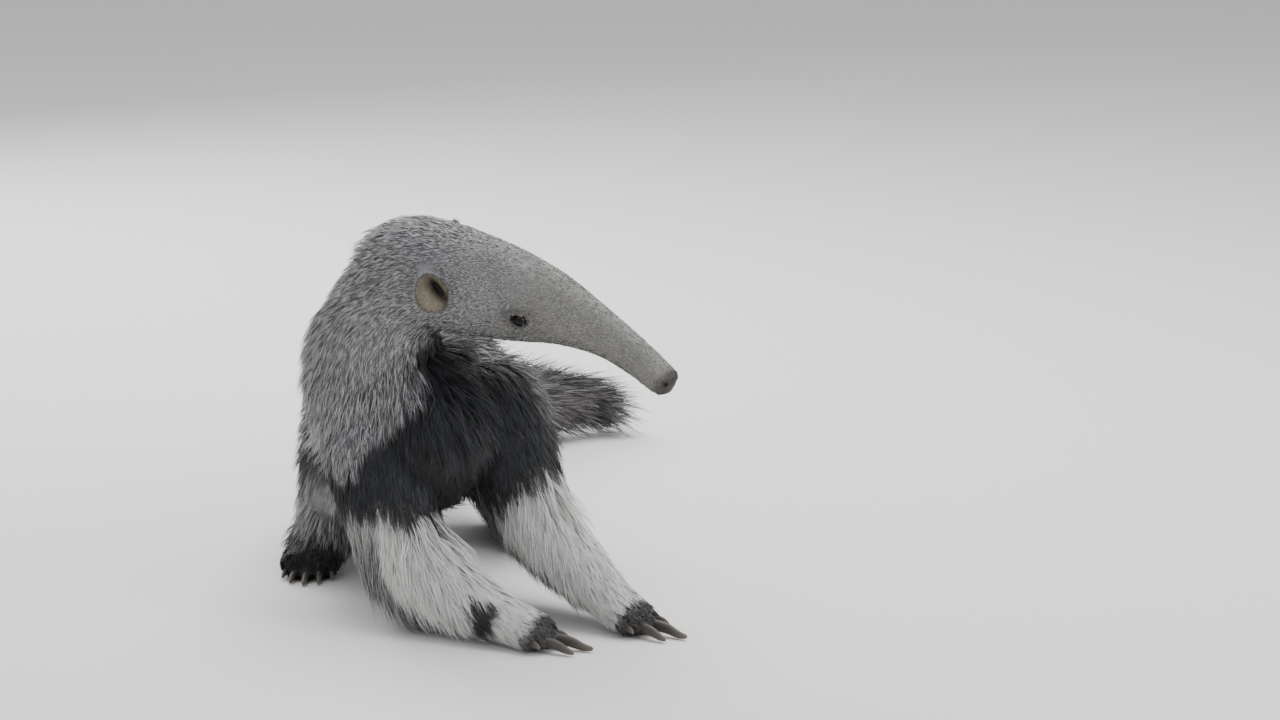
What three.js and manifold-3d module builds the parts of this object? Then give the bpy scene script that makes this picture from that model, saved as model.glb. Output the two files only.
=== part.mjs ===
// A young giant anteater, life size, crouching on its forearms with its neck raised and its head
// turned to its left. Millimetres, +Z up. It faces -Y, its right side is on -X, and it rests on z = 0.
// Each part of the body is its own closed solid, and touching parts keep a thin gap.
import * as THREE from "three";
import { mergeVertices } from "three/addons/utils/BufferGeometryUtils.js";
import Module from "manifold-3d";

const wasm = await Module();
wasm.setup();

// Driving sizes
const GAP = 0.32; // between touching parts
const FLOOR_DEPTH = 60; // how deep the block below the floor reaches
const EYE_RADIUS = 5.4;
const EAR_HEIGHT = 41;
const EAR_WIDTH = 31;
const MANE_LENGTH = 46;
const FLANK_LENGTH = 54;
const NAPE_LENGTH = 24;
const TAIL_HAIR_LENGTH = 84;
const FRINGE_LENGTH = 30;

const vec = (x, y, z) => new THREE.Vector3(x, y, z);
const UP = vec(0, 0, 1);

// A repeatable random number from 0 to 1.
function makeRandom(seed) {
  let state = seed;
  return () => {
    state = (state * 1664525 + 1013904223) % 4294967296;
    return state / 4294967296;
  };
}

// Solids

// A closed indexed geometry as a solid, turned outwards if its faces point in.
function solidFrom(positions, triangles) {
  const mesh = (order) =>
    new wasm.Manifold(
      new wasm.Mesh({
        numProp: 3,
        vertProperties: new Float32Array(positions),
        triVerts: new Uint32Array(order),
      }),
    );
  const made = mesh(triangles);
  if (made.volume() > 0) return made;
  const turned = [];
  for (let i = 0; i < triangles.length; i += 3) {
    turned.push(triangles[i], triangles[i + 2], triangles[i + 1]);
  }
  return mesh(turned);
}

// A three.js geometry as a solid, with its shared corners merged.
function solidOf(geometry) {
  const plain = geometry.clone();
  plain.deleteAttribute("normal");
  plain.deleteAttribute("uv");
  const merged = mergeVertices(plain, 1e-3);
  return solidFrom(merged.attributes.position.array, merged.index.array);
}

const joined = (solids) => wasm.Manifold.union(solids);

// The largest closed surface of a solid, which drops scraps and fills sealed hollows.
function largest(solid) {
  const pieces = solid.decompose();
  return pieces.reduce((a, b) => (b.volume() > a.volume() ? b : a));
}

function geometryOf(solid) {
  const mesh = solid.getMesh();
  const positions = new Float32Array(mesh.numVert * 3);
  for (let i = 0; i < mesh.numVert; i += 1) {
    const start = i * mesh.numProp;
    positions.set(mesh.vertProperties.subarray(start, start + 3), i * 3);
  }
  const geometry = new THREE.BufferGeometry();
  geometry.setAttribute("position", new THREE.BufferAttribute(positions, 3));
  geometry.setIndex(new THREE.BufferAttribute(mesh.triVerts, 1));
  geometry.computeVertexNormals();
  return geometry;
}

// A rounded limb, trunk or tail. Each station is [x, y, z, half width, half height above, half
// height below], and smooth curves run through them. The ends close in round caps.
class Limb {
  constructor(stations, { up = UP, upEnd = up, sides = 16, rings = 16, startCap = 0.1, endCap = 0.1 }) {
    const centres = stations.map((s) => vec(s[0], s[1], s[2]));
    const sizes = stations.map((s) => vec(s[3], s[4], s[5] ?? s[4]));
    this.line = new THREE.CatmullRomCurve3(centres, false, "catmullrom", 0.5);
    this.sizes = new THREE.CatmullRomCurve3(sizes, false, "catmullrom", 0.5);
    Object.assign(this, { up, upEnd, sides, rings, startCap, endCap });
  }

  frame(u) {
    const along = this.line.getTangent(u).normalize();
    const upward = this.up.clone().lerp(this.upEnd, u);
    const across = along.clone().cross(upward).normalize();
    return { centre: this.line.getPoint(u), along, across, above: across.clone().cross(along) };
  }

  // How far a section has opened at u: 0 at a tip and 1 past its cap.
  opening(u) {
    const from = Math.min(u / this.startCap, (1 - u) / this.endCap, 1);
    return Math.pow(1 - Math.pow(1 - from, 2.3), 1 / 2.3);
  }

  // The surface point at u along and at an angle round, where 0 is across and a quarter turn is above.
  at(u, angle, grow = 0) {
    const { centre, across, above } = this.frame(u);
    const half = this.sizes.getPoint(u).multiplyScalar(this.opening(u)).addScalar(grow);
    const height = Math.sin(angle) > 0 ? half.y : half.z;
    return centre
      .addScaledVector(across, Math.cos(angle) * half.x)
      .addScaledVector(above, Math.sin(angle) * height);
  }

  normal(u, angle) {
    const step = 0.01;
    const along = this.at(Math.min(u + step, 0.99), angle).sub(this.at(Math.max(u - step, 0.01), angle));
    const round = this.at(u, angle + step).sub(this.at(u, angle - step));
    const out = along.cross(round).normalize();
    const away = this.at(u, angle).sub(this.line.getPoint(u));
    return out.dot(away) < 0 ? out.negate() : out;
  }

  solid(grow = 0) {
    const { sides, rings } = this;
    const positions = [];
    const start = this.frame(0);
    const end = this.frame(1);
    start.centre.addScaledVector(start.along, -grow);
    end.centre.addScaledVector(end.along, grow);
    positions.push(...start.centre.toArray());
    for (let i = 1; i <= rings; i += 1) {
      const even = i / (rings + 1);
      const u = 0.45 * even + (0.55 * (1 - Math.cos(Math.PI * even))) / 2;
      for (let k = 0; k < sides; k += 1) {
        positions.push(...this.at(u, (2 * Math.PI * k) / sides, grow).toArray());
      }
    }
    positions.push(...end.centre.toArray());
    const last = 1 + rings * sides;
    const triangles = [];
    for (let k = 0; k < sides; k += 1) {
      const next = (k + 1) % sides;
      triangles.push(0, 1 + next, 1 + k);
      for (let i = 0; i < rings - 1; i += 1) {
        const row = 1 + i * sides;
        triangles.push(row + k, row + next, row + sides + next);
        triangles.push(row + k, row + sides + next, row + sides + k);
      }
      triangles.push(last, last - sides + k, last - sides + next);
    }
    return solidFrom(positions, triangles);
  }
}

// A flat, tapered lock of hair of four sides. It is rooted under the surface, follows its lie,
// bends by its droop and comes to a point, and it trails along the floor rather than through it.
const SHORT_STEPS = [0, 0.5, 1];
const LONG_STEPS = [0, 0.34, 0.7, 1];
function lock(root, normal, lie, sizes, grow = 0) {
  const { length, width, thick, lift, droop = 0, sink = 5, steps = SHORT_STEPS } = sizes;
  const along = lie.clone().addScaledVector(normal, -lie.dot(normal)).normalize();
  const spine = steps.map((s) => {
    const point = root.clone().addScaledVector(along, length * s);
    point.addScaledVector(normal, lift * length * s * (1 - 0.45 * s) - (s === 0 ? sink : 0));
    point.z -= droop * length * s * s;
    point.z = Math.max(point.z, 0.8 + 1.4 * (1 - s));
    return point;
  });
  const positions = [];
  const rings = steps.length - 1;
  for (let i = 0; i < rings; i += 1) {
    const forward = spine[i + 1].clone().sub(spine[i]).normalize();
    const side = forward.clone().cross(normal).normalize();
    const face = side.clone().cross(forward);
    const halfWidth = (width / 2) * [0.8, 1, 0.72][i] + grow;
    const halfThick = (thick / 2) * [1, 0.85, 0.6][i] + grow;
    const corners = [
      [halfWidth, 0],
      [0, halfThick],
      [-halfWidth, 0],
      [0, -halfThick],
    ];
    for (const [a, b] of corners) {
      positions.push(...spine[i].clone().addScaledVector(side, a).addScaledVector(face, b).toArray());
    }
  }
  const tip = spine[rings].clone();
  tip.addScaledVector(tip.clone().sub(spine[rings - 1]).normalize(), 2 * grow);
  positions.push(...tip.toArray());
  const triangles = [0, 1, 2, 0, 2, 3];
  for (let i = 0; i < rings; i += 1) {
    for (let k = 0; k < 4; k += 1) {
      const a = i * 4 + k;
      const b = i * 4 + ((k + 1) % 4);
      if (i < rings - 1) triangles.push(a, a + 4, b, b, a + 4, b + 4);
      else triangles.push(a, rings * 4, b);
    }
  }
  return solidFrom(positions, triangles);
}

// Locks set in rows on a limb. rows is how many steps it takes from one place along to the other,
// angles the places round it in degrees, and shape gives each lock's sizes from u and its angle.
function coat(limb, { from, to, rows, angles, flow, shape, seed }) {
  const random = makeRandom(seed);
  const list = [];
  for (let i = 0; i < rows; i += 1) {
    for (let k = 0; k < angles.length; k += 1) {
      const shift = (k % 2) * 0.5;
      const u = from + ((to - from) * (i + shift + 0.3 * (random() - 0.5))) / Math.max(rows - 0.5, 1);
      const degrees = angles[k] + 7 * (random() - 0.5);
      const angle = THREE.MathUtils.degToRad(degrees);
      const sizes = shape(u, degrees);
      sizes.length *= 0.85 + 0.3 * random();
      const lie = flow(limb.frame(u), degrees).normalize();
      list.push([limb.at(u, angle), limb.normal(u, angle), lie, sizes]);
    }
  }
  return (grow) => list.map((one) => lock(one[0], one[1], one[2], one[3], grow));
}

// The trunk, from the breast to the rump. Its left shoulder stands higher than the right.
const CHEST_UP = vec(-0.3, 0, 1);
const trunk = new Limb(
  [
    [-35, 108, 130, 46, 48],
    [-44, 133, 135, 54, 58],
    [-53, 163, 139, 62, 65],
    [-56, 200, 143, 66, 68],
    [-52, 250, 145, 67, 69],
    [-43, 300, 142, 68, 69],
    [-32, 350, 134, 67, 67],
    [-20, 395, 122, 61, 61],
    [-9, 435, 108, 50, 52],
    [-1, 468, 96, 42, 43],
  ],
  { up: CHEST_UP, upEnd: UP, sides: 20, rings: 14, startCap: 0.16, endCap: 0.16 },
);

const mane = coat(trunk, {
  from: 0.2,
  to: 0.9,
  rows: 9,
  angles: [66, 90, 114],
  flow: ({ along }) => along.clone(),
  shape: (u) => ({ length: MANE_LENGTH * (0.9 + 0.5 * u), width: 24, thick: 3.4, lift: 0.36, droop: 0.1 }),
  seed: 11,
});
const flanks = coat(trunk, {
  from: 0.4,
  to: 0.9,
  rows: 6,
  angles: [-50, -22, 8, 40, 140, 172, 202, 230],
  flow: ({ along }) => along.clone().addScaledVector(UP, -0.75),
  shape: () => ({ length: FLANK_LENGTH, width: 27, thick: 3, lift: 0.26, droop: 0.12 }),
  seed: 12,
});

// The neck rises from between the shoulders and arches over to the animal's left.
const neckLimb = new Limb(
  [
    [-56, 196, 118, 52, 52],
    [-76, 188, 150, 51, 51],
    [-87, 181, 186, 47, 47],
    [-84, 171, 222, 43, 43],
    [-71, 160, 249, 40, 40],
    [-48, 147, 262, 39, 39],
  ],
  { up: vec(-1, 0.1, 0.1), upEnd: vec(-0.4, 0, 1), sides: 16, rings: 10, startCap: 0.1, endCap: 0.14 },
);
const nape = coat(neckLimb, {
  from: 0.84,
  to: 0.24,
  rows: 6,
  angles: [-12, 22, 56, 90, 124, 158, 192],
  flow: ({ along }) => along.clone().negate(),
  shape: (u) => ({ length: NAPE_LENGTH * (1.5 - 0.6 * u), width: 19, thick: 2.6, lift: 0.42, sink: 4 }),
  seed: 13,
});

// The head: a long tube that narrows from the ears and bends down to a small mouth at its tip.
const HEAD_UP = vec(-0.1, -0.42, 1); // the crown leans a little to the animal's right side
const headLimb = new Limb(
  [
    [-88, 169, 258, 40, 42],
    [-66, 156, 264, 40, 43],
    [-41, 143, 262, 40, 43],
    [-12, 129, 255, 37, 41],
    [16, 114, 247, 31.5, 37, 36],
    [36, 102, 241, 25.5, 31],
    [55, 90, 232, 20.5, 24.5],
    [74, 76, 221, 17, 18.5],
    [93, 61, 206, 14.5, 15.5],
    [105, 50, 195, 13.5, 13.5],
    [114, 42, 187, 12, 12],
  ],
  { up: HEAD_UP, sides: 20, rings: 18, startCap: 0.14, endCap: 0.07 },
);
const crown = coat(headLimb, {
  from: 0.2,
  to: 0.06,
  rows: 2,
  angles: [30, 62, 94, 126, 158],
  flow: ({ along }) => along.clone().negate(),
  shape: () => ({ length: NAPE_LENGTH * 1.1, width: 20, thick: 2.6, lift: 0.24, sink: 4 }),
  seed: 18,
});
const RIGHT = 0; // degrees round the head at its right side
const LEFT = 180;
const toward = (limb, u, degrees, depth = 0) => {
  const angle = THREE.MathUtils.degToRad(degrees);
  return limb.at(u, angle).addScaledVector(limb.normal(u, angle), depth);
};

// Eyes, small and set low on the sides, each in a socket with a raised lid round it.
const EYE_PLACE = 0.43;
const eyeCentre = (side) => toward(headLimb, EYE_PLACE, side, -EYE_RADIUS * 0.55);
function ball(centre, radius, stretch = [1, 1, 1], sides = 12) {
  const geometry = new THREE.SphereGeometry(radius, sides, sides - 4);
  geometry.scale(...stretch);
  return solidOf(geometry.translate(centre.x, centre.y, centre.z));
}
function lidRing(side) {
  const angle = THREE.MathUtils.degToRad(side);
  const out = headLimb.normal(EYE_PLACE, angle);
  const along = headLimb.frame(EYE_PLACE).along;
  const geometry = new THREE.TorusGeometry(EYE_RADIUS + 0.8, 2.1, 5, 12);
  geometry.scale(1.22, 0.86, 1);
  const across = out.clone().cross(along).normalize();
  const turn = new THREE.Matrix4().makeBasis(along.clone().cross(out).cross(out).negate(), across, out);
  geometry.applyMatrix4(turn);
  const centre = eyeCentre(side).addScaledVector(out, EYE_RADIUS * 0.45);
  return solidOf(geometry.translate(centre.x, centre.y, centre.z));
}

// Ears, each an upright oval cup that opens forwards and outwards.
const EAR_PLACE = 0.24;
function ear(side, lean, raise) {
  const angle = THREE.MathUtils.degToRad(side + lean);
  const out = headLimb.normal(EAR_PLACE, angle);
  const { along, above: headUp } = headLimb.frame(EAR_PLACE);
  const tall = out.clone().multiplyScalar(0.4).addScaledVector(headUp, raise).addScaledVector(along, -0.6);
  tall.normalize();
  const facing = out.clone().addScaledVector(along, 0.75);
  facing.addScaledVector(tall, -facing.dot(tall)).normalize();
  const wide = tall.clone().cross(facing);
  const base = headLimb.at(EAR_PLACE, angle).addScaledVector(out, -1);
  const turn = new THREE.Matrix4().makeBasis(wide, tall, facing);
  const middle = base.clone().addScaledVector(tall, EAR_HEIGHT * 0.22).addScaledVector(out, 5);
  const shell = new THREE.SphereGeometry(1, 12, 7);
  shell.scale(EAR_WIDTH / 2, EAR_HEIGHT / 2, 8.5).applyMatrix4(turn);
  const hollow = new THREE.SphereGeometry(1, 10, 6);
  hollow.scale(EAR_WIDTH / 2 - 2.6, EAR_HEIGHT / 2 - 2.8, 8.5).applyMatrix4(turn);
  const inside = middle.clone().addScaledVector(facing, 4.4);
  return solidOf(shell.translate(middle.x, middle.y, middle.z)).subtract(
    solidOf(hollow.translate(inside.x, inside.y, inside.z)),
  );
}

// The mouth: lips round a slit that runs back from the tip on both sides, and two nostrils above.
const MOUTH = [
  [0.86, 208],
  [0.92, 207],
  [0.965, 212],
  [0.985, 240],
  [0.985, 300],
  [0.965, 328],
  [0.92, 333],
  [0.86, 332],
];
function mouthLine(radius, depth) {
  const stations = MOUTH.map(([u, degrees]) => [
    ...toward(headLimb, u, degrees, -depth).toArray(),
    radius,
    radius,
  ]);
  const shape = { up: vec(0.3, 0.3, 1), sides: 4, rings: 10, startCap: 0.05, endCap: 0.05 };
  return new Limb(stations, shape).solid();
}
const nostril = (side) => ball(toward(headLimb, 0.975, side, -0.3), 1.9, [1.1, 1, 1.25], 8);

// Forelegs. The right forearm lies along the floor, and the left stands a little higher.
const forelegRight = new Limb(
  [
    [-92, 174, 158, 32, 36],
    [-92, 150, 128, 40, 42],
    [-86, 127, 90, 37, 38],
    [-73, 104, 50, 31, 31],
    [-48, 72, 33, 26, 25],
    [-25, 44, 22, 21, 19],
    [-6, 25, 15, 21, 17],
    [8, 13, 11, 20, 13],
  ],
  { up: vec(0.5, -0.6, 0.8), upEnd: vec(0.1, 0, 1), sides: 12, rings: 13, startCap: 0.14, endCap: 0.1 },
);
const forelegLeft = new Limb(
  [
    [-22, 190, 176, 32, 36],
    [-6, 172, 150, 40, 42],
    [12, 150, 110, 36, 38],
    [30, 124, 70, 30, 31],
    [48, 96, 46, 25, 25],
    [63, 69, 29, 21, 20],
    [77, 47, 15.5, 21, 17],
    [89, 31, 10, 20, 13],
  ],
  { up: vec(0.5, -0.6, 0.8), upEnd: vec(0.1, 0, 1), sides: 12, rings: 13, startCap: 0.14, endCap: 0.1 },
);
const fringe = (limb, seed) =>
  coat(limb, {
    from: 0.44,
    to: 0.74,
    rows: 3,
    angles: [-92, -50, -5, 175, 222],
    flow: ({ along }) => along.clone().addScaledVector(UP, -0.9),
    shape: (u) => ({
      length: FRINGE_LENGTH * (1.6 - 0.9 * u),
      width: 20,
      thick: 2.6,
      lift: 0.24,
      droop: 0.2,
    }),
    seed,
  });

// A toe runs from the paw to its tip, and the claw beyond it curves down and in.
function toeAndClaw(base, heading, { toe, thick, claw, hook }) {
  const side = heading.clone().cross(UP).normalize();
  const ahead = side.clone().cross(UP).negate().normalize();
  const tip = base.clone().addScaledVector(heading, toe);
  const toeLimb = new Limb(
    [
      [...base.toArray(), thick, thick],
      [...base.clone().lerp(tip, 0.5).toArray(), thick, thick * 0.95],
      [...tip.toArray(), thick * 0.9, thick * 0.85],
    ],
    { sides: 6, rings: 3, startCap: 0.3, endCap: 0.35 },
  );
  const place = (forwards, down) => {
    const point = tip.clone().addScaledVector(ahead, forwards);
    point.z = Math.max(point.z - down, thick * 0.3 + 0.6);
    return point.toArray();
  };
  const clawLimb = new Limb(
    [
      [...place(-thick * 0.7, 0), thick * 0.42, thick * 0.6],
      [...place(claw * 0.3, hook * 0.1), thick * 0.4, thick * 0.55],
      [...place(claw * 0.7, hook * 0.45), thick * 0.3, thick * 0.4],
      [...place(claw, hook), thick * 0.16, thick * 0.2],
    ],
    { sides: 5, rings: 3, startCap: 0.1, endCap: 0.1 },
  );
  return { toe: toeLimb, claw: clawLimb };
}
// Four toes on a forefoot, with the great claw third, and five on a hind foot.
const FORE_TOES = [
  { across: 15, back: 8, toe: 9, thick: 5.5, claw: 9, hook: 3 },
  { across: 7, back: 2, toe: 14, thick: 7, claw: 22, hook: 8 },
  { across: -4, back: 1, toe: 15, thick: 7.6, claw: 28, hook: 9 },
  { across: -14, back: 6, toe: 12, thick: 6, claw: 11, hook: 4 },
];
const HIND_TOES = [
  { across: 16, back: 8, toe: 9, thick: 5, claw: 9, hook: 3.5 },
  { across: 9, back: 3, toe: 12, thick: 5.6, claw: 12, hook: 4.5 },
  { across: 0, back: 0, toe: 13, thick: 6, claw: 13, hook: 4.5 },
  { across: -9, back: 2, toe: 12, thick: 5.6, claw: 12, hook: 4.5 },
  { across: -17, back: 7, toe: 9, thick: 5, claw: 9, hook: 3.5 },
];
function digits(limb, u, toes, height) {
  const { centre, along } = limb.frame(u);
  const ahead = vec(along.x, along.y, 0).normalize();
  const inward = ahead.clone().cross(UP);
  return toes.map((t) => {
    const base = centre.clone().addScaledVector(inward, t.across).addScaledVector(ahead, -t.back);
    base.z = height;
    const spread = ahead.clone().addScaledVector(inward, t.across * 0.012);
    spread.z = -0.12;
    return toeAndClaw(base, spread.normalize(), t);
  });
}

// Hind legs, folded beside the belly with the whole sole on the floor.
function hindLeg(hip, knee, ankle, toes) {
  const between = (a, b, t) => a.map((value, i) => value + (b[i] - value) * t);
  const thigh = new Limb(
    [
      [...hip, 46, 66],
      [...between(hip, knee, 0.4), 46, 62],
      [...between(hip, knee, 0.75), 37, 47],
      [...knee, 31, 37],
    ],
    { sides: 12, rings: 7, startCap: 0.3, endCap: 0.3 },
  );
  const shank = new Limb(
    [
      [...knee, 28, 32],
      [...between(knee, ankle, 0.35), 28, 34],
      [...between(knee, ankle, 0.7), 22, 26],
      [...ankle, 18, 20],
    ],
    { up: vec(0, -1, 0.6), sides: 10, rings: 5, startCap: 0.25, endCap: 0.2 },
  );
  const foot = new Limb(
    [
      [...between(ankle, toes, -0.24), 17, 20],
      [...between(ankle, toes, 0.12), 21, 23],
      [...between(ankle, toes, 0.55), 24, 21],
      [...between(ankle, toes, 0.86), 25, 16],
      [...toes, 23, 13],
    ],
    { sides: 12, rings: 7, startCap: 0.22, endCap: 0.16 },
  );
  return { thigh, shank, foot };
}
const hindRight = hindLeg([-54, 366, 114], [-104, 262, 58], [-98, 342, 20], [-131, 250, 10]);
const hindLeft = hindLeg([26, 392, 116], [60, 290, 66], [58, 370, 20], [72, 276, 10]);
const breeches = (limb, angles, seed) =>
  coat(limb, {
    from: 0.2,
    to: 0.75,
    rows: 3,
    angles,
    flow: ({ along }) => vec(0, 0.8, -1).addScaledVector(along, -0.1),
    shape: () => ({ length: FRINGE_LENGTH * 1.4, width: 22, thick: 2.8, lift: 0.22, droop: 0.1 }),
    seed,
  });

// The tail lies back and round to the animal's left, in two lengths. Its long hair spreads above
// and below it like a plume and trails on the floor.
const TAIL = [
  [-6, 446, 101, 32, 36],
  [4, 480, 93, 29, 34],
  [22, 525, 80, 24, 30],
  [48, 572, 68, 19, 26],
  [84, 612, 58, 15, 22],
  [126, 643, 50, 12, 18],
  [170, 664, 42, 9, 13],
  [210, 676, 34, 6, 8],
];
const tailBase = new Limb(TAIL.slice(0, 5), { sides: 12, rings: 8, startCap: 0.2, endCap: 0.2 });
const tailEnd = new Limb(TAIL.slice(3), { sides: 12, rings: 8, startCap: 0.2, endCap: 0.12 });
const plume = (limb, rows, from, to, seed) =>
  coat(limb, {
    from,
    to,
    rows,
    angles: [-122, -58, -14, 32, 90, 148, 194],
    flow: ({ along, above }, degrees) =>
      along.clone().addScaledVector(above, 0.45 * Math.sin(THREE.MathUtils.degToRad(degrees))),
    shape: (u) => ({
      length: TAIL_HAIR_LENGTH * (0.75 + 0.2 * u),
      width: 21 - 3 * u,
      thick: 3,
      lift: 0.34,
      droop: 0.12,
      steps: LONG_STEPS,
    }),
    seed,
  });

// Putting the body together. A part lower in this list gives way to those above it, and hair
// gives way to the flesh of every other part.
const foreToesRight = digits(forelegRight, 0.95, FORE_TOES, 9.5);
const foreToesLeft = digits(forelegLeft, 0.95, FORE_TOES, 9.5);
const hindToesRight = digits(hindRight.foot, 0.92, HIND_TOES, 7);
const hindToesLeft = digits(hindLeft.foot, 0.92, HIND_TOES, 7);
const limbsOf = (list) => (grow) => list.map((limb) => limb.solid(grow));
const toesOf = (list) => list.map((one) => one.toe);

const parts = [
  { name: "torso", flesh: limbsOf([trunk]), hair: [mane, flanks], colour: 0x4a4543 },
  { name: "head", flesh: limbsOf([headLimb]), hair: [crown], colour: 0x8f8a86 },
  { name: "neck", flesh: limbsOf([neckLimb]), hair: [nape], colour: 0x85817f },
  {
    name: "foreleg_right",
    flesh: limbsOf([forelegRight, ...toesOf(foreToesRight)]),
    hair: [fringe(forelegRight, 14)],
    colour: 0xc9c6bf,
  },
  {
    name: "foreleg_left",
    flesh: limbsOf([forelegLeft, ...toesOf(foreToesLeft)]),
    hair: [fringe(forelegLeft, 15)],
    colour: 0xc9c6bf,
  },
  {
    name: "hind_leg_right",
    flesh: limbsOf([hindRight.thigh, hindRight.shank, hindRight.foot, ...toesOf(hindToesRight)]),
    hair: [breeches(hindRight.thigh, [140, 172, 205], 16)],
    colour: 0x2f2c2b,
  },
  {
    name: "hind_leg_left",
    flesh: limbsOf([hindLeft.thigh, hindLeft.shank, hindLeft.foot, ...toesOf(hindToesLeft)]),
    hair: [breeches(hindLeft.thigh, [40, 8, -25], 23)],
    colour: 0x2f2c2b,
  },
  {
    name: "tail_base",
    flesh: limbsOf([tailBase]),
    hair: [plume(tailBase, 4, 0.16, 0.8, 21)],
    colour: 0x383432,
  },
  {
    name: "tail_end",
    flesh: limbsOf([tailEnd]),
    hair: [plume(tailEnd, 3, 0.16, 0.86, 22)],
    colour: 0x383432,
  },
];

const floorBlock = solidOf(
  new THREE.BoxGeometry(2000, 2000, FLOOR_DEPTH).translate(0, 0, -FLOOR_DEPTH / 2),
);
const tight = parts.map((part) => joined(part.flesh(GAP)));
const solids = new Map();

// Flesh first, each part cut clear of those before it in the list.
const flesh = parts.map((part, i) => {
  const solid = joined(part.flesh(0));
  return i > 0 ? solid.subtract(joined(tight.slice(0, i))) : solid;
});

// Then the features of the head.
const sides = { right: RIGHT, left: LEFT };
const headIndex = parts.findIndex((part) => part.name === "head");
for (const side of Object.values(sides)) {
  flesh[headIndex] = flesh[headIndex]
    .add(lidRing(side))
    .subtract(ball(eyeCentre(side), EYE_RADIUS + GAP))
    .subtract(nostril(side === RIGHT ? RIGHT + 35 : LEFT - 35));
}
flesh[headIndex] = flesh[headIndex].add(mouthLine(1.9, 0.9)).subtract(mouthLine(0.8, -0.6));

// Then the hair, clear of other parts' flesh and of the hair that is already there.
let placedHair = null;
parts.forEach((part, i) => {
  const others = joined(tight.filter((_, k) => k !== i));
  let hair = joined(part.hair.flatMap((make) => make(0))).subtract(others);
  if (placedHair) hair = hair.subtract(placedHair);
  const wide = joined(part.hair.flatMap((make) => make(GAP)));
  placedHair = placedHair ? placedHair.add(wide) : wide;
  const solid = flesh[i].add(hair).subtract(floorBlock);
  solids.set(part.name, { solid: largest(solid), colour: part.colour });
});

// Ears, eyes and claws, cut clear of the flesh and hair that they sit in.
const around = joined([...tight, placedHair]);
for (const [name, side] of Object.entries(sides)) {
  const lean = name === "right" ? 6 : 14;
  const raise = name === "right" ? 0.75 : 0.2; // the left ear is laid back
  const cup = ear(side, lean, raise).subtract(around);
  solids.set(`ear_${name}`, { solid: largest(cup), colour: 0x6f6658 });
  solids.set(`eye_${name}`, { solid: ball(eyeCentre(side), EYE_RADIUS), colour: 0x15110f });
}
const feet = {
  fore_claw_right: foreToesRight,
  fore_claw_left: foreToesLeft,
  hind_claw_right: hindToesRight,
  hind_claw_left: hindToesLeft,
};
for (const [name, toes] of Object.entries(feet)) {
  toes.forEach((one, i) => {
    const claw = one.claw.solid().subtract(around).subtract(floorBlock);
    solids.set(`${name}_${i + 1}`, { solid: largest(claw), colour: 0x3a342c });
  });
}

// The finished group stands with the middle of its outline over the origin.
const group = new THREE.Group();
for (const [name, { solid, colour }] of solids) {
  const shiny = name.startsWith("eye");
  const material = new THREE.MeshStandardMaterial({
    color: colour,
    roughness: shiny ? 0.15 : 0.9,
    metalness: 0,
  });
  const mesh = new THREE.Mesh(geometryOf(solid), material);
  mesh.name = name;
  group.add(mesh);
}
const outline = new THREE.Box3().setFromObject(group);
const middle = outline.getCenter(vec(0, 0, 0));
group.position.set(-middle.x, -middle.y, 0);

export default group;
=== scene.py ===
import math
from functools import partial

import bmesh
import bpy
import numpy as np
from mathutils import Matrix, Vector


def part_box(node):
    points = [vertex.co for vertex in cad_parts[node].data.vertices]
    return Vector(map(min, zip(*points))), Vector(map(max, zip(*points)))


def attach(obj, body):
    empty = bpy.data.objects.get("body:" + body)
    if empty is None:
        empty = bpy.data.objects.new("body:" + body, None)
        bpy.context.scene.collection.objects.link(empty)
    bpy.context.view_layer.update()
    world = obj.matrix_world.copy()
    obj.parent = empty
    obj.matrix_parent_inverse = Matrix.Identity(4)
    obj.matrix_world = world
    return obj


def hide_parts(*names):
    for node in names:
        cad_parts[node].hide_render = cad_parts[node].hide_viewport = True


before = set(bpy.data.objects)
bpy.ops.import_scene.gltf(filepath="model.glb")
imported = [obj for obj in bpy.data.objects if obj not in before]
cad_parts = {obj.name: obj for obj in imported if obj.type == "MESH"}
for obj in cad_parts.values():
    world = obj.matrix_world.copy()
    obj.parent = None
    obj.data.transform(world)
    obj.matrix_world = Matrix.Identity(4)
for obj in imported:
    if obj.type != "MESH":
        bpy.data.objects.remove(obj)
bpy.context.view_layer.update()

# The skin
# One hide over the whole body, from the muzzle to the tail's tip, of dark leathery skin. Rounded
# forms of the body parts are joined, remeshed as one surface and smoothed, and then the lids, the
# nostrils and the mouth are pressed into it.
MM = 0.001
UP = np.array([0.0, 0.0, 1.0])
VOXEL = 2.5  # side of the cells that the body parts are joined in
TOE_GRID = (10, 16)  # rings and sides
CLAW_GRID = (26, 20)


def unit(vectors):
    """Vectors divided by their lengths."""
    lengths = np.linalg.norm(vectors, axis=-1, keepdims=True)
    return vectors / np.maximum(lengths, 1e-9)


def along_surface(vectors, outward):
    """The unit directions of vectors once what points outwards is taken off them."""
    return unit(vectors - (vectors * outward).sum(-1, keepdims=True) * outward)


def distance(points, place):
    """How far each point is from a place."""
    return np.linalg.norm(points - place, axis=1)


def ramp(value, low, high):
    """0 below low, 1 above high, and the smooth step 3t^2 - 2t^3 between them."""
    t = np.clip((value - low) / (high - low), 0, 1)
    return t * t * (3 - 2 * t)


def fade(value, low, high):
    """1 below low and 0 above high: 1 - ramp."""
    return 1 - ramp(value, low, high)


def bump(value, middle, width):
    """A bell, exp(-((value - middle) / width)^2)."""
    return np.exp(-(((value - middle) / width) ** 2))


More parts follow.
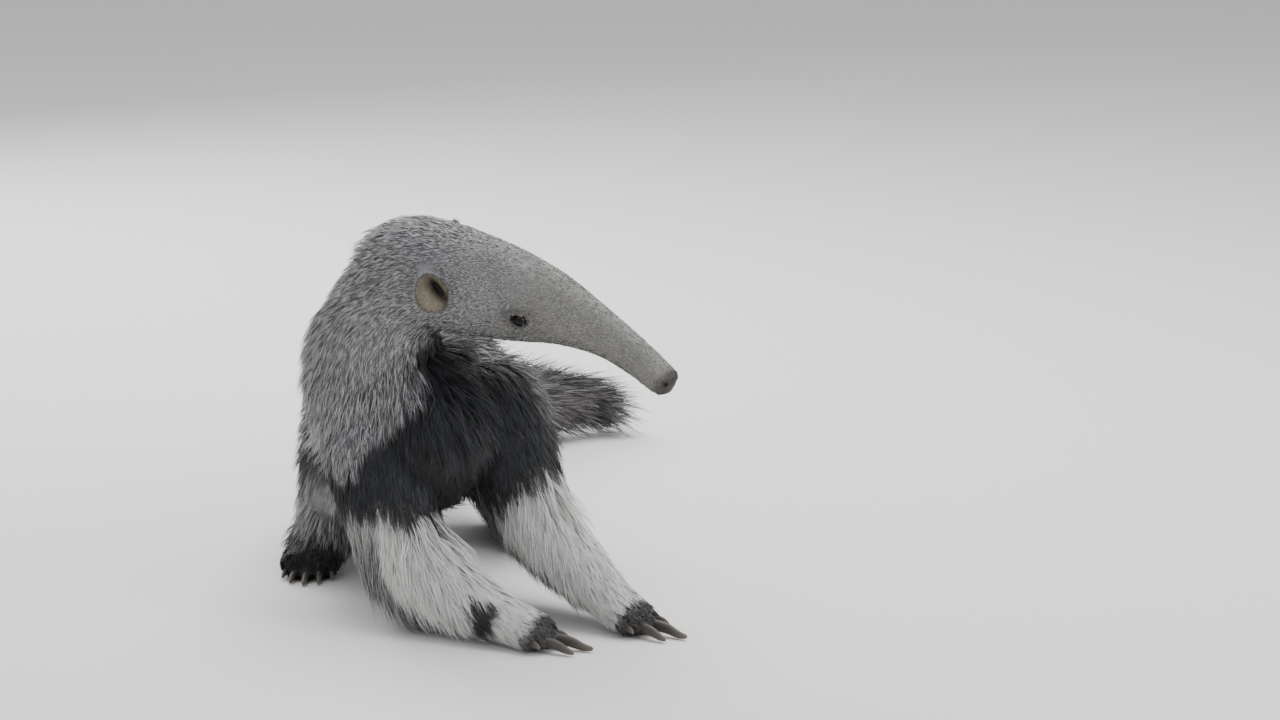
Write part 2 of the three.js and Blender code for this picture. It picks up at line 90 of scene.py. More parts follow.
def spline(rows, u):
    """The smooth curve through rows at u from 0 to 1, and its slope. Between two rows it is a cubic
    whose slope at each row is half the step between that row's neighbours."""
    padded = np.vstack([2 * rows[0] - rows[1], rows, 2 * rows[-1] - rows[-2]])
    t = np.clip(u, 0, 1) * (len(rows) - 1)
    i = np.minimum(t.astype(int), len(rows) - 2)
    t = (t - i)[..., None]
    before, start, end, after = (padded[i + k] for k in range(4))
    leave, arrive = (end - before) / 2, (after - start) / 2
    cube = 2 * (start - end) + leave + arrive
    square = 3 * (end - start) - 2 * leave - arrive
    return ((cube * t + square) * t + leave) * t + start, (3 * cube * t + 2 * square) * t + leave


def closed_faces(rings, sides):
    """Faces of a closed surface: quads between rings of points, numbered ring by ring, and a fan of
    triangles from each end ring to its tip. The two tips are the last points. The faces point out
    where the rings turn clockwise, seen from the first tip, and a limb's turn the other way."""
    ring, k = np.meshgrid(np.arange(rings - 1), np.arange(sides), indexing="ij")
    a, b = ring * sides + k, ring * sides + (k + 1) % sides
    faces = np.stack([a, b, b + sides, a + sides], -1).reshape(-1, 4).tolist()
    k = np.arange(sides)
    after = (k + 1) % sides
    first, last, start = rings * sides, rings * sides + 1, (rings - 1) * sides
    faces += np.stack([k * 0 + first, after, k], -1).tolist()
    faces += np.stack([k * 0 + last, start + k, start + after], -1).tolist()
    return faces


def turned(faces):
    """The same faces, looking the other way."""
    return [face[::-1] for face in faces]


def joined(surfaces):
    """Points and faces of several surfaces, each given as its points and faces, as one."""
    points, faces = np.empty((0, 3)), []
    for more_points, more_faces in surfaces:
        faces += [[len(points) + corner for corner in face] for face in more_faces]
        points = np.vstack([points, more_points])
    return points, faces


class Limb:
    """A rounded body part. Its stations are [x, y, z, half width, half height above, half height
    below], and smooth curves run through them. Its ends close in round caps."""

    CAP = 2.3  # 2 is a round cap, and more is a fuller one

    def __init__(self, stations, caps, inset, up=(0, 0, 1), up_end=None):
        rows = np.array([row if len(row) == 6 else [*row, row[4]] for row in stations], float)
        self.centres, self.sizes = rows[:, :3], rows[:, 3:]
        self.up = np.array(up, float)
        self.up_end = self.up if up_end is None else np.array(up_end, float)
        self.caps, self.inset = caps, inset

    def frame(self, u):
        """Centre, along, across and above at u: across is along x up, and above is across x along."""
        centre, slope = spline(self.centres, u)
        along = unit(slope)
        upward = self.up + (self.up_end - self.up) * u[..., None]
        across = unit(np.cross(along, upward))
        return centre, along, across, np.cross(across, along)

    def half(self, u, angle, grow=0.0):
        """Half width and half height at u, times (1 - (1 - f)^CAP)^(1/CAP) within the end caps, where
        f is how much of the cap lies behind."""
        from_end = np.minimum(np.minimum(u / self.caps[0], (1 - u) / self.caps[1]), 1)
        opening = (1 - (1 - np.clip(from_end, 0, 1)) ** self.CAP) ** (1 / self.CAP)
        sizes = spline(self.sizes, u)[0] * opening[..., None] + grow
        return sizes[..., 0], np.where(np.sin(angle) > 0, sizes[..., 1], sizes[..., 2])

    def at(self, u, degrees, grow=0.0):
        """The point at u along and at an angle round: centre + cos * half width * across + sin * half
        height * above."""
        u, angle = np.asarray(u, float), np.radians(degrees)
        centre, _, across, above = self.frame(u)
        wide, high = self.half(u, angle, grow)
        side = (np.cos(angle) * wide)[..., None] * across
        return centre + side + (np.sin(angle) * high)[..., None] * above

    def normal(self, u, degrees):
        """Outward direction of the surface: its slope along x its slope round."""
        along = self.at(min(u + 0.01, 0.99), degrees) - self.at(max(u - 0.01, 0.01), degrees)
        around = self.at(u, degrees + 0.6) - self.at(u, degrees - 0.6)
        out = unit(np.cross(along, around))
        away = self.at(u, degrees) - spline(self.centres, np.asarray(u, float))[0]
        return -out if np.dot(out, away) < 0 else out

    def locate(self, points, tries=80):
        """u, angle in radians and level of each point, where level is 1 on the surface. u is the
        nearest of the places tried, mended by the point's distance along the curve from there."""
        places = np.linspace(0, 1, tries)
        centres = spline(self.centres, places)[0]
        u = places[((centres**2).sum(-1) - 2 * points @ centres.T).argmin(1)]
        for _ in range(2):
            centre, slope = spline(self.centres, u)
            step = ((points - centre) * slope).sum(-1) / (slope**2).sum(-1)
            u = np.clip(u + step / (len(self.centres) - 1), 0, 1)
        centre, along, across, above = self.frame(u)
        offset = points - centre
        x, y, beyond = ((offset * axis).sum(-1) for axis in (across, above, along))
        sizes = spline(self.sizes, u)[0]
        high = np.where(y > 0, sizes[:, 1], sizes[:, 2])
        level = np.sqrt((x / sizes[:, 0]) ** 2 + (y / high) ** 2 + (beyond / sizes[:, 0]) ** 2)
        return u, np.arctan2(y / high, x / sizes[:, 0]), level

    def grid(self, rings=60, sides=64):
        """Closed surface: rings of points, closer together at the ends, and a point at each tip."""
        even = np.arange(1, rings + 1) / (rings + 1)
        u = 0.45 * even + 0.55 * (1 - np.cos(math.pi * even)) / 2
        turn = 360 * np.arange(sides) / sides
        points = self.at(u[:, None] + 0 * turn, turn + 0 * u[:, None], -self.inset).reshape(-1, 3)
        ends = self.frame(np.array([0.0, 1.0]))
        tips = ends[0] + np.array([[1], [-1]]) * self.inset * ends[1]
        return np.vstack([points, tips]), closed_faces(rings, sides)


trunk = Limb(
    [
        [-35, 108, 130, 46, 48],
        [-44, 133, 135, 54, 58],
        [-53, 163, 139, 62, 65],
        [-56, 200, 143, 66, 68],
        [-52, 250, 145, 67, 69],
        [-43, 300, 142, 68, 69],
        [-32, 350, 134, 67, 67],
        [-20, 395, 122, 61, 61],
        [-9, 435, 108, 50, 52],
        [-1, 468, 96, 42, 43],
    ],
    up=(-0.3, 0, 1),
    up_end=(0, 0, 1),
    caps=(0.16, 0.16),
    inset=5.0,
)
neck = Limb(
    [
        [-56, 196, 118, 52, 52],
        [-76, 188, 150, 51, 51],
        [-87, 181, 186, 47, 47],
        [-84, 171, 222, 43, 43],
        [-71, 160, 249, 40, 40],
        [-48, 147, 262, 39, 39],
    ],
    up=(-1, 0.1, 0.1),
    up_end=(-0.4, 0, 1),
    caps=(0.1, 0.14),
    inset=2.0,
)
head = Limb(
    [
        [-88, 169, 258, 40, 42],
        [-66, 156, 264, 40, 43],
        [-41, 143, 262, 40, 43],
        [-12, 129, 255, 37, 41],
        [16, 114, 247, 31.5, 37, 36],
        [36, 102, 241, 25.5, 31],
        [55, 90, 232, 20.5, 24.5],
        [74, 76, 221, 17, 18.5],
        [93, 61, 206, 14.5, 15.5],
        [105, 50, 195, 13.5, 13.5],
        [114, 42, 187, 12, 12],
    ],
    up=(-0.1, -0.42, 1),
    caps=(0.14, 0.07),
    inset=1.3,
)
FORELEG_SHAPE = dict(up=(0.5, -0.6, 0.8), up_end=(0.1, 0, 1), caps=(0.14, 0.1), inset=2.5)
foreleg_right = Limb(
    [
        [-92, 174, 158, 32, 36],
        [-92, 150, 128, 40, 42],
        [-86, 127, 90, 37, 38],
        [-73, 104, 50, 31, 31],
        [-48, 72, 33, 26, 25],
        [-25, 44, 22, 21, 19],
        [-6, 25, 15, 21, 17],
        [8, 13, 11, 20, 13],
    ],
    **FORELEG_SHAPE,
)
foreleg_left = Limb(
    [
        [-22, 190, 176, 32, 36],
        [-6, 172, 150, 40, 42],
        [12, 150, 110, 36, 38],
        [30, 124, 70, 30, 31],
        [48, 96, 46, 25, 25],
        [63, 69, 29, 21, 20],
        [77, 47, 15.5, 21, 17],
        [89, 31, 10, 20, 13],
    ],
    **FORELEG_SHAPE,
)
tail = Limb(
    [
        [-6, 446, 101, 32, 36],
        [4, 480, 93, 29, 34],
        [22, 525, 80, 24, 30],
        [48, 572, 68, 19, 26],
        [84, 612, 58, 15, 22],
        [126, 643, 50, 12, 18],
        [170, 664, 42, 9, 13],
        [210, 676, 34, 6, 8],
    ],
    caps=(0.16, 0.06),
    inset=1.5,
)


def stations(start, end, *rows):
    """A limb's stations on a straight line: each row is a share of the way, then the sizes there."""
    start, end = np.array(start), np.array(end)
    return [[*(start + (end - start) * share), *sizes] for share, *sizes in rows]


def hind_leg(hip, knee, ankle, toes):
    """Thigh, shank and foot, each a limb between two of the four points."""
    rows = [(0, 46, 66), (0.4, 46, 62), (0.75, 37, 47), (1, 31, 37)]
    thigh = Limb(stations(hip, knee, *rows), caps=(0.3, 0.3), inset=3.0)
    rows = [(0, 28, 32), (0.35, 28, 34), (0.7, 22, 26), (1, 18, 20)]
    shank = Limb(stations(knee, ankle, *rows), up=(0, -1, 0.6), caps=(0.25, 0.2), inset=2.5)
    rows = [(-0.24, 17, 20), (0.12, 21, 23), (0.55, 24, 21), (0.86, 25, 16), (1, 23, 13)]
    foot = Limb(stations(ankle, toes, *rows), caps=(0.22, 0.16), inset=1.5)
    return thigh, shank, foot


hind_right = hind_leg([-54, 366, 114], [-104, 262, 58], [-98, 342, 20], [-131, 250, 10])
hind_left = hind_leg([26, 392, 116], [60, 290, 66], [58, 370, 20], [72, 276, 10])

# Toes, each with its place across and back from the foot's end, its length, its half thickness,
# its claw's length and how far the claw hooks down. The third claw of a forefoot is the great one.
FORE_TOES = [
    (15, 8, 9, 5.5, 9, 3),
    (7, 2, 14, 7, 22, 8),
    (-4, 1, 15, 7.6, 28, 9),
    (-14, 6, 12, 6, 11, 4),
]
HIND_TOES = [
    (16, 8, 9, 5, 9, 3.5),
    (9, 3, 12, 5.6, 12, 4.5),
    (0, 0, 13, 6, 13, 4.5),
    (-9, 2, 12, 5.6, 12, 4.5),
    (-17, 7, 9, 5, 9, 3.5),
]


def toes_and_claws(limb, u, toes, height):
    """A toe and a claw for each row of toes. A toe runs level with the floor from the foot's end, and
    the claw goes on beyond it, bending down in proportion to its hook."""
    centre, along, _, _ = limb.frame(np.array(u))
    ahead = unit(along * [1, 1, 0])
    inward = np.cross(ahead, UP)
    made, claws = [], []
    for across, back, length, thick, claw, hook in toes:
        base = (centre + inward * across - ahead * back) * [1, 1, 0] + UP * height
        heading = unit(ahead + inward * across * 0.012 - UP * 0.12)
        tip = base + heading * length
        middle = (base + tip) / 2
        rows = [[*base, thick, thick], [*middle, thick, thick * 0.95]]
        rows.append([*tip, thick * 0.9, thick * 0.85])
        made.append(Limb(rows, caps=(0.3, 0.35), inset=0.5))
        point = unit(heading * [1, 1, 0])
        rows = []
        for forwards, down, wide, high in (
            (-0.7 * thick, 0, 0.42, 0.6),
            (0.3 * claw, 0.1 * hook, 0.4, 0.55),
            (0.7 * claw, 0.45 * hook, 0.3, 0.4),
            (claw, hook, 0.16, 0.2),
        ):
            place = tip + point * forwards
            place[2] = max(place[2] - down, thick * 0.3 + 0.6)
            rows.append([*place, thick * wide, thick * high])
        claws.append(Limb(rows, caps=(0.1, 0.1), inset=0))
    return made, claws


feet = {
    "fore_claws_right": toes_and_claws(foreleg_right, 0.95, FORE_TOES, 9.5),
    "fore_claws_left": toes_and_claws(foreleg_left, 0.95, FORE_TOES, 9.5),
    "hind_claws_right": toes_and_claws(hind_right[2], 0.92, HIND_TOES, 7),
    "hind_claws_left": toes_and_claws(hind_left[2], 0.92, HIND_TOES, 7),
}
every_toe = [toe for made, _ in feet.values() for toe in made]

RIGHT, LEFT = 0, 180  # degrees round the head at its sides
EYE_RADIUS = 5.4
EYE_PLACE = 0.43  # u along the head
EYE_DEPTH = 0.55  # share of the radius that lies under the head's plain surface
EYE_REACH = 30  # how far the shapes round an eye reach
eyes = {}
for side, degrees in (("right", RIGHT), ("left", LEFT)):
    out = head.normal(EYE_PLACE, degrees)
    ahead = unit(head.frame(np.array(EYE_PLACE))[1])
    eyes[side] = (head.at(EYE_PLACE, degrees) - out * EYE_RADIUS * EYE_DEPTH, out, ahead)

EAR_PLACE = 0.24  # u along the head
EAR_STEPS = (5, 14.2, -2)  # from there to the ear's middle: out, up along the ear, and ahead
EAR_TURN = 0.4  # how far an ear faces forwards for each step out
EAR_HALF = (12.6, 18.4)  # half width and half height
EAR_DEPTH = 5.5  # of the hollow
EAR_SEAT = (3.3, -1.0, 9.0, 13.6)  # oval where it is set in: forward, up, half width and height


def ear_axes(degrees, lean, rise):
    """The ear's middle, and its forward, tall and facing directions. Tall leans out, up and back, and
    facing is out and a little forwards at a right angle to it."""
    out = head.normal(EAR_PLACE, degrees + lean)
    _, ahead, _, above = head.frame(np.array(EAR_PLACE))
    tall = unit(0.15 * out + rise * above - 0.45 * ahead)
    facing = out + EAR_TURN * ahead
    facing = unit(facing - (facing @ tall) * tall)
    middle = head.at(EAR_PLACE, degrees + lean)
    for step, axis in zip(EAR_STEPS, (out, tall, ahead)):
        middle = middle + step * axis
    wide = np.cross(tall, facing)
    return middle, wide if wide @ ahead > 0 else -wide, tall, facing


ears = {"right": ear_axes(RIGHT, 6, 0.9), "left": ear_axes(LEFT, 14, 0.6)}


def ear_inside(x, y):
    """Height of an ear's inside over its middle, x forwards and y up it: rim * r^2 - 2.5 *
    (1 - r^2)^0.8 at a share r of the way out, less a hollow near the front edge and a slit in that."""
    r = np.minimum(np.hypot(x / EAR_HALF[0], y / EAR_HALF[1]), 1)
    turn = np.arctan2(y / EAR_HALF[1], x / EAR_HALF[0])
    rim = 2.8 - 1.6 * np.cos(turn) + np.sin(turn)
    leaf = rim * r**2 - 2.5 * (1 - r**2) ** 0.8
    hollow = bump(x, 2 - 0.15 * y, 4.6) * bump(y, -4, 11) * (1 - r**8)
    slit = bump(x, 3.2 - 0.14 * y, 2.1) * bump(y, -5, 9.5) * (1 - r**10)
    lip = bump(x, 7.4 - 0.1 * y, 1.4) * bump(y, -6, 8) * (1 - r**12)
    ridge = bump(x, -3.6 - 0.15 * y, 1.8) * bump(y, 1, 8)
    return leaf - EAR_DEPTH * hollow - 3 * slit + lip + 0.6 * ridge, hollow, slit


def ear_places(points, ear):
    """Places over an ear: forwards, up it and out from it, and how far from the middle of the oval
    where it is set in, 1 at the edge."""
    middle, *axes = ear
    x, y, height = ((points - middle) @ axis for axis in axes)
    return x, y, height, np.hypot((x - EAR_SEAT[0]) / EAR_SEAT[2], (y - EAR_SEAT[1]) / EAR_SEAT[3])


# The animal's layout sits in the frame so that the right eye is in its place.
low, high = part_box("eye_right")
SHIFT = (np.array(low) + np.array(high)) / 2 / MM - eyes["right"][0]


def show(name, data):
    """An object in the scene for a mesh, a lamp or a camera."""
    made = bpy.data.objects.new(name, data)
    bpy.context.scene.collection.objects.link(made)
    return made


def make_mesh(name, points, faces):
    """A smooth-shaded object from points in millimetres and faces of any number of corners."""
    mesh = bpy.data.meshes.new(name)
    mesh.from_pydata(((np.asarray(points) + SHIFT) * MM).tolist(), [], faces)
    mesh.shade_smooth()
    return show(name, mesh)


HIND_RIGHT = ["thigh_right", "shank_right", "foot_right"]
HIND_LEFT = ["thigh_left", "shank_left", "foot_left"]
PARTS = {
    "head": head,
    "neck": neck,
    "trunk": trunk,
    "foreleg_right": foreleg_right,
    "foreleg_left": foreleg_left,
    **dict(zip(HIND_RIGHT, hind_right)),
    **dict(zip(HIND_LEFT, hind_left)),
    "tail": tail,
}
forms = [limb.grid() for limb in PARTS.values()] + [toe.grid(*TOE_GRID) for toe in every_toe]
skin = make_mesh("skin", *joined(forms))
remesh = skin.modifiers.new("one surface", "REMESH")
remesh.mode = "VOXEL"
remesh.voxel_size = VOXEL * MM
finished = skin.evaluated_get(bpy.context.evaluated_depsgraph_get())
remeshed = bpy.data.meshes.new_from_object(finished)
skin.modifiers.clear()
skin.data = remeshed


def read(items, key, width, kind=np.float32):
    """The numbers of a mesh's points, edges or faces, one row each."""
    flat = np.empty(len(items) * width, kind)
    items.foreach_get(key, flat)
    return flat.reshape(-1, width)


def points_of(mesh):
    """The mesh's points in millimetres, in the animal's own layout."""
    return read(mesh.vertices, "co", 3).astype(float) / MM - SHIFT


def set_points(mesh, points):
    """Moves the mesh's points to places in millimetres."""
    mesh.vertices.foreach_set("co", ((points + SHIFT) * MM).astype(np.float32).ravel())


def normals_of(mesh):
    """Outward directions at the mesh's points."""
    return read(mesh.vertices, "normal", 3).astype(float)


def smooth_values(mesh, values, share, times):
    """Moves each point's row of values the given share of the way to the mean of its neighbours'."""
    edges = read(mesh.edges, "vertices", 2, np.int32)
    ends = np.concatenate([edges[:, 0], edges[:, 1]])
    others = np.concatenate([edges[:, 1], edges[:, 0]])
    count = np.maximum(np.bincount(ends, minlength=len(values)), 1)
    for _ in range(times):
        sums = [np.bincount(ends, values[others, k], len(values)) for k in range(values.shape[1])]
        values = values + share * (np.stack(sums, -1) / count[:, None] - values)
    return values


# The joins are rounded off, less where the small forms of the muzzle and the toes would melt.
SMOOTHINGS = 14
SOLE_GAP = 0.4  # least height over the floor
snout_tip = head.centres[-1]
BARE_TIP = 10.5  # no hair within this of it
points = points_of(skin.data)
small = fade(distance(points, snout_tip), 10, 70)
for toe in every_toe:
    small = np.maximum(small, fade(distance(points, toe.centres[1]), 14, 24))
for _ in range(SMOOTHINGS):
    points += (1 - 0.8 * small)[:, None] * (smooth_values(skin.data, points, 0.5, 1) - points)
points[:, 2] = np.maximum(points[:, 2], SOLE_GAP)
set_points(skin.data, points)
skin.data.update()

# The skin round each eye, and at the mouth, gets finer faces.
FINE_AT_EYE, FINE_AT_SNOUT = 17, 26  # how far they reach
FINEST = 0.72  # share of that within which they are cut once more
HALF_MOUTH = [(0.86, 208), (0.92, 207), (0.965, 212), (0.985, 240)]
MOUTH = HALF_MOUTH + [(u, 540 - degrees) for u, degrees in reversed(HALF_MOUTH)]
NOSTRILS = [head.at(0.975, RIGHT + 35), head.at(0.975, LEFT - 35)]
mouth = np.array([head.at(u, degrees) for u, degrees in MOUTH])


def refine(mesh, centre, radius):
    """Cuts in half each edge of the faces that lie within the radius of the centre."""
    work = bmesh.new()
    work.from_mesh(mesh)
    middle = Vector(((centre + SHIFT) * MM).tolist())
    reach = radius * MM
    faces = [face for face in work.faces if (face.calc_center_median() - middle).length < reach]
    near = {edge for face in faces for edge in face.edges}
    bmesh.ops.subdivide_edges(work, edges=list(near), cuts=1, use_grid_fill=True)
    work.to_mesh(mesh)
    work.free()


fine_places = [(eye[0], FINE_AT_EYE) for eye in eyes.values()] + [(snout_tip, FINE_AT_SNOUT)]
for centre, radius in fine_places:
    refine(skin.data, centre, radius)
    refine(skin.data, centre, radius * FINEST)


def near_line(points, line):
    """Distance of each point from a line of straight pieces."""
    best = np.full(len(points), np.inf)
    for start, end in zip(line[:-1], line[1:]):
        along = end - start
        t = np.clip(((points - start) @ along) / (along @ along), 0, 1)
        best = np.minimum(best, distance(points - start, t[:, None] * along))
    return best


# Lids swell round an almond opening that sinks behind the eyeball, in a shallow socket. The mouth
# is a slit between two low lips, and the nostrils are small pits. Each form is a height or depth,
# then where it lies and how wide it is, or from where to where it fades, all in millimetres.
points = points_of(skin.data)
outward = normals_of(skin.data)
push = np.zeros(len(points))
for centre, out, ahead in eyes.values():
    over = np.cross(out, ahead)
    over = over if over[2] > 0 else -over
    offset = points - centre
    near = (offset @ out > -EYE_RADIUS) & (distance(points, centre) < EYE_REACH)
    x, y = offset @ ahead, offset @ over
    around = np.hypot((x + 0.18 * y) / 1.25, (y - 0.05 * x) / 0.9)
    lids = 1.6 * bump(around, 6.6, 1.5) * (1 + 0.25 * (y > 0))
    crease = -0.7 * bump(around, 9.6, 1.3) * (y > -3)
    opening = -4.6 * fade(around, 4.6, 5.8)
    socket = -1.3 * bump(around, 0, 13)
    push += near * (lids + crease + opening + socket)
for ear in ears.values():
    x, y, height, away = ear_places(points, ear)
    under = fade(away, 0.8, 1.1) * (np.abs(height) < 24)
    push -= np.clip(height - ear_inside(x, y)[0] + 1.9, 0, 16) * under
slit = near_line(points, mouth)
push += 0.7 * bump(slit, 2.0, 1.1) - 1.6 * fade(slit, 0.4, 1.1)
for centre in NOSTRILS:
    ring = distance(points, centre)
    push += 0.6 * bump(ring, 2.9, 0.9) - 3.0 * fade(ring, 1.3, 2.2)
set_points(skin.data, points + outward * push[:, None])
skin.data.update()
skin.data.shade_smooth()

# Where every point of the skin lies on the body: its place along and round each body part, and how
# much each part counts there, which falls off with its level.
BLEND = 9.0
NAMES = list(PARTS)
points = points_of(skin.data)
outward = normals_of(skin.data)
places = {name: limb.locate(points) for name, limb in PARTS.items()}
levels = np.stack([places[name][2] for name in PARTS])
weights = np.exp(-BLEND * (levels - levels.min(0)))
weights /= weights.sum(0)
owner = weights.argmax(0)


def table(value, *stops):
    """The height at value of a line drawn through (place, height) stops."""
    return np.interp(value, [stop[0] for stop in stops], [stop[1] for stop in stops])


def shade(colour, *layers):
    """Colours laid over one another: each (colour, amount) covers what is below by its amount."""
    colour = np.array(colour, float)
    for over, amount in layers:
        colour = colour + np.asarray(amount)[..., None] * (np.array(over) - colour)
    return colour


# Markings: red, green, blue, and how strongly each hair is ringed in dark and pale.
GREY = (0.38, 0.366, 0.376, 1.0)
SNOUT_GREY = (0.375, 0.362, 0.338, 0.5)
MUZZLE = (0.062, 0.047, 0.042, 0.0)
BLACK = (0.020, 0.021, 0.024, 0.05)
WHITE = (0.89, 0.88, 0.85, 0.06)
GRIZZLED = (0.16, 0.148, 0.136, 0.75)
DARK = (0.042, 0.038, 0.037, 0.3)
PALE_EDGE = (0.66, 0.645, 0.64, 0.25)
TAIL_BROWN = (0.075, 0.066, 0.060, 0.5)


def rise_of(angle):
    """Degrees up from level: -90 below, 0 at either side and 90 on top."""
    return np.degrees(np.arcsin(np.sin(angle)))


def head_style(u, angle, at):
    """Close grey velvet on the snout, longer and coarser behind the ears."""
    rise = rise_of(angle)
    throat = ramp(-rise, 24, 60) * fade(u, 0.14, 0.26)
    # Painted shade: the head is darker underneath, by up to 0.45, from about the ears to near the
    # snout's tip.
    under = ramp(-rise, 0, 60) * ramp(u, 0.15, 0.3) * fade(u, 0.8, 1)
    colour = shade(GREY, (SNOUT_GREY, ramp(u, 0.2, 0.5)), (MUZZLE, ramp(u, 0.89, 0.985)))
    colour[:, :3] *= (1 - 0.45 * under)[:, None]
    return dict(
        lie=-at[1] - 0.12 * UP,
        length=table(u, (0, 13), (0.14, 10.5), (0.24, 7), (0.34, 5.2), (0.5, 4.0), (0.8, 3.0), (1, 2)),
        width=table(u, (0, 0.55), (0.24, 0.46), (0.5, 0.4), (1, 0.36)),
        lift=table(u, (0, 0.55), (0.18, 0.42), (0.34, 0.36), (0.6, 0.36), (1, 0.34)),
        colour=shade(colour, (BLACK, throat)),
    )


# How far up the black of the throat reaches: u along the neck, and degrees.
THROAT_EDGE = [(0, 16), (0.31, 6), (0.36, -6), (0.42, -16)]
THROAT_EDGE += [(0.49, -27), (0.63, -46), (0.75, -78), (1, -95)]


def neck_style(u, angle, at):
    """Bristly grey on the nape and the sides, black at the throat with a slanting edge between, and
    black at the foot behind, where the stripe passes from the shoulder to the back."""
    rise = rise_of(angle)
    edge = table(u, *THROAT_EDGE)
    degrees = np.degrees(angle) % 360
    behind = ramp(degrees, 50, 72) * fade(degrees, 200, 230) * fade(u, 0.2, 0.26)
    black = np.maximum(ramp(edge - rise, -2, 3), behind)
    nape = ramp(rise, 0, 60)
    return dict(
        lie=-at[1],
        length=17 + 8 * nape - 3 * ramp(u, 0.6, 1),
        width=0.58 + 0 * u,
        lift=(0.32 + 0.42 * nape) * (1 - black) + 0.14 * black,
        colour=shade(GREY, (BLACK, black)),
    )


NECK_FOOT = np.array([-72.0, 190.0, 175.0])  # the breast's hair spreads from here


def trunk_style(u, angle, at):
    """A black breast and a black stripe, edged in white, that tapers from the shoulder up to the
    middle of the back. Grey above it, with a longer mane, and grizzled below it."""
    rise = rise_of(angle)
    top = table(u, (0.1, 0), (0.18, 10), (0.3, 38), (0.4, 58), (0.6, 74), (0.75, 86), (1, 88))
    top = top + 20 * np.clip(np.cos(angle), 0, 1) * fade(u, 0.4, 0.7)
    foot = table(u, (0.1, -75), (0.18, -62), (0.3, -46), (0.45, 2), (0.6, 46), (0.75, 82), (1, 92))
    stripe = ramp(rise, foot - 3, foot + 3) * fade(rise, top - 3, top + 3) * fade(u, 0.7, 0.76)
    edging = 0.5 * bump(rise, top + 4, 3.5) * ramp(u, 0.3, 0.45) + 0.95 * bump(rise, foot - 8, 6)
    edging = np.clip(edging, 0, 0.95) * ramp(u, 0.14, 0.2) * fade(u, 0.66, 0.76)
    flank = bump(u, 0.45, 0.13) * bump(rise, -42, 18)
    back = ramp(rise, 30, 75)
    belly = ramp(-rise, 35, 70)
    reach = 0.145 + 0.14 * np.clip(0.3 + 1.5 * np.cos(angle), 0, 1)
    breast = fade(u, reach - 0.02, reach + 0.02)
    front = fade(u, 0.22, 0.34)[:, None]
    from_neck = unit(at[4] - NECK_FOOT) - 0.8 * UP
    backwards = at[1] - (0.8 - 0.7 * back)[:, None] * UP
    colour = shade(
        GRIZZLED,
        (GREY, ramp(rise, top, top + 10) * fade(u, 0.3, 0.75)),
        (DARK, np.maximum(0.45 * ramp(u, 0.5, 0.95), belly)),
        (PALE_EDGE, np.maximum(edging, 0.6 * flank)),
        (BLACK, np.maximum(stripe, breast)),
    )
    return dict(
        lie=front * from_neck + (1 - front) * unit(backwards),
        length=32 + 12 * back + 6 * ramp(u, 0.5, 1) - 12 * breast,
        width=0.72 + 0 * u,
        lift=0.22 + 0.1 * back - 0.08 * breast,
        colour=colour,
    )


# How far down the grey of the neck hangs over the shoulder: degrees round the leg, and u along it.
HOOD_EDGE = [(-90, 0.06), (-60, 0.12), (-27, 0.165), (-14, 0.185)]
HOOD_EDGE += [(-3, 0.18), (29, 0.13), (60, 0.06)]


def foreleg_style(u, angle, at, hooded=1.0):
    """Grey at the very top of the shoulder, black to below it, then white with long hair, grizzled
    behind the elbow, a black patch at the wrist, and dark toes."""
    turn = np.degrees(np.angle(np.exp(1j * (angle - np.radians(20)))))
    hood_edge = table(turn, *HOOD_EDGE)
    hood = hooded * fade(u, hood_edge - 0.008, hood_edge + 0.008)
    border = table(turn, (-90, 0.25), (-29, 0.262), (12, 0.30), (36, 0.318), (60, 0.335), (180, 0.345))
    white = ramp(u, border - 0.012, border + 0.012)
    grizzle_edge = table(u, (0.26, 8), (0.3, 2), (0.44, -34), (0.5, -52), (0.6, -100), (0.7, -200))
    grizzle = ramp(grizzle_edge - turn, -9, 9) * (1 - 0.45 * bump(u, border + 0.02, 0.02))
    wrist = ramp(bump(u, 0.69, 0.062), 0.35, 0.75) * fade(np.abs(turn + 12), 34, 50)
    toes = ramp(u, 0.865, 0.92)
    colour = shade(BLACK, (GREY, hood), (WHITE, white), (GRIZZLED, 0.9 * grizzle * white))
    colour = shade(colour, (BLACK, wrist), (DARK, toes))
    downwards = table(u, (0, 0.4), (0.28, 1.0), (0.45, 1.1), (0.62, 0.8), (0.76, 0.25), (1, 0.05))
    elbow = bump(turn, -75, 45) * bump(u, 0.4, 0.15)
    length = table(u, (0, 18), (0.26, 22), (0.36, 31), (0.6, 27), (0.7, 16), (0.86, 10), (1, 4))
    return dict(
        lie=at[1] - downwards[:, None] * UP,
        length=length + 8 * elbow,
        width=table(u, (0, 0.66), (0.6, 0.7), (1, 0.5)),
        lift=table(u, (0, 0.16), (0.3, 0.2), (0.7, 0.26), (1, 0.36)) + 0.35 * elbow,
        colour=colour,
    )


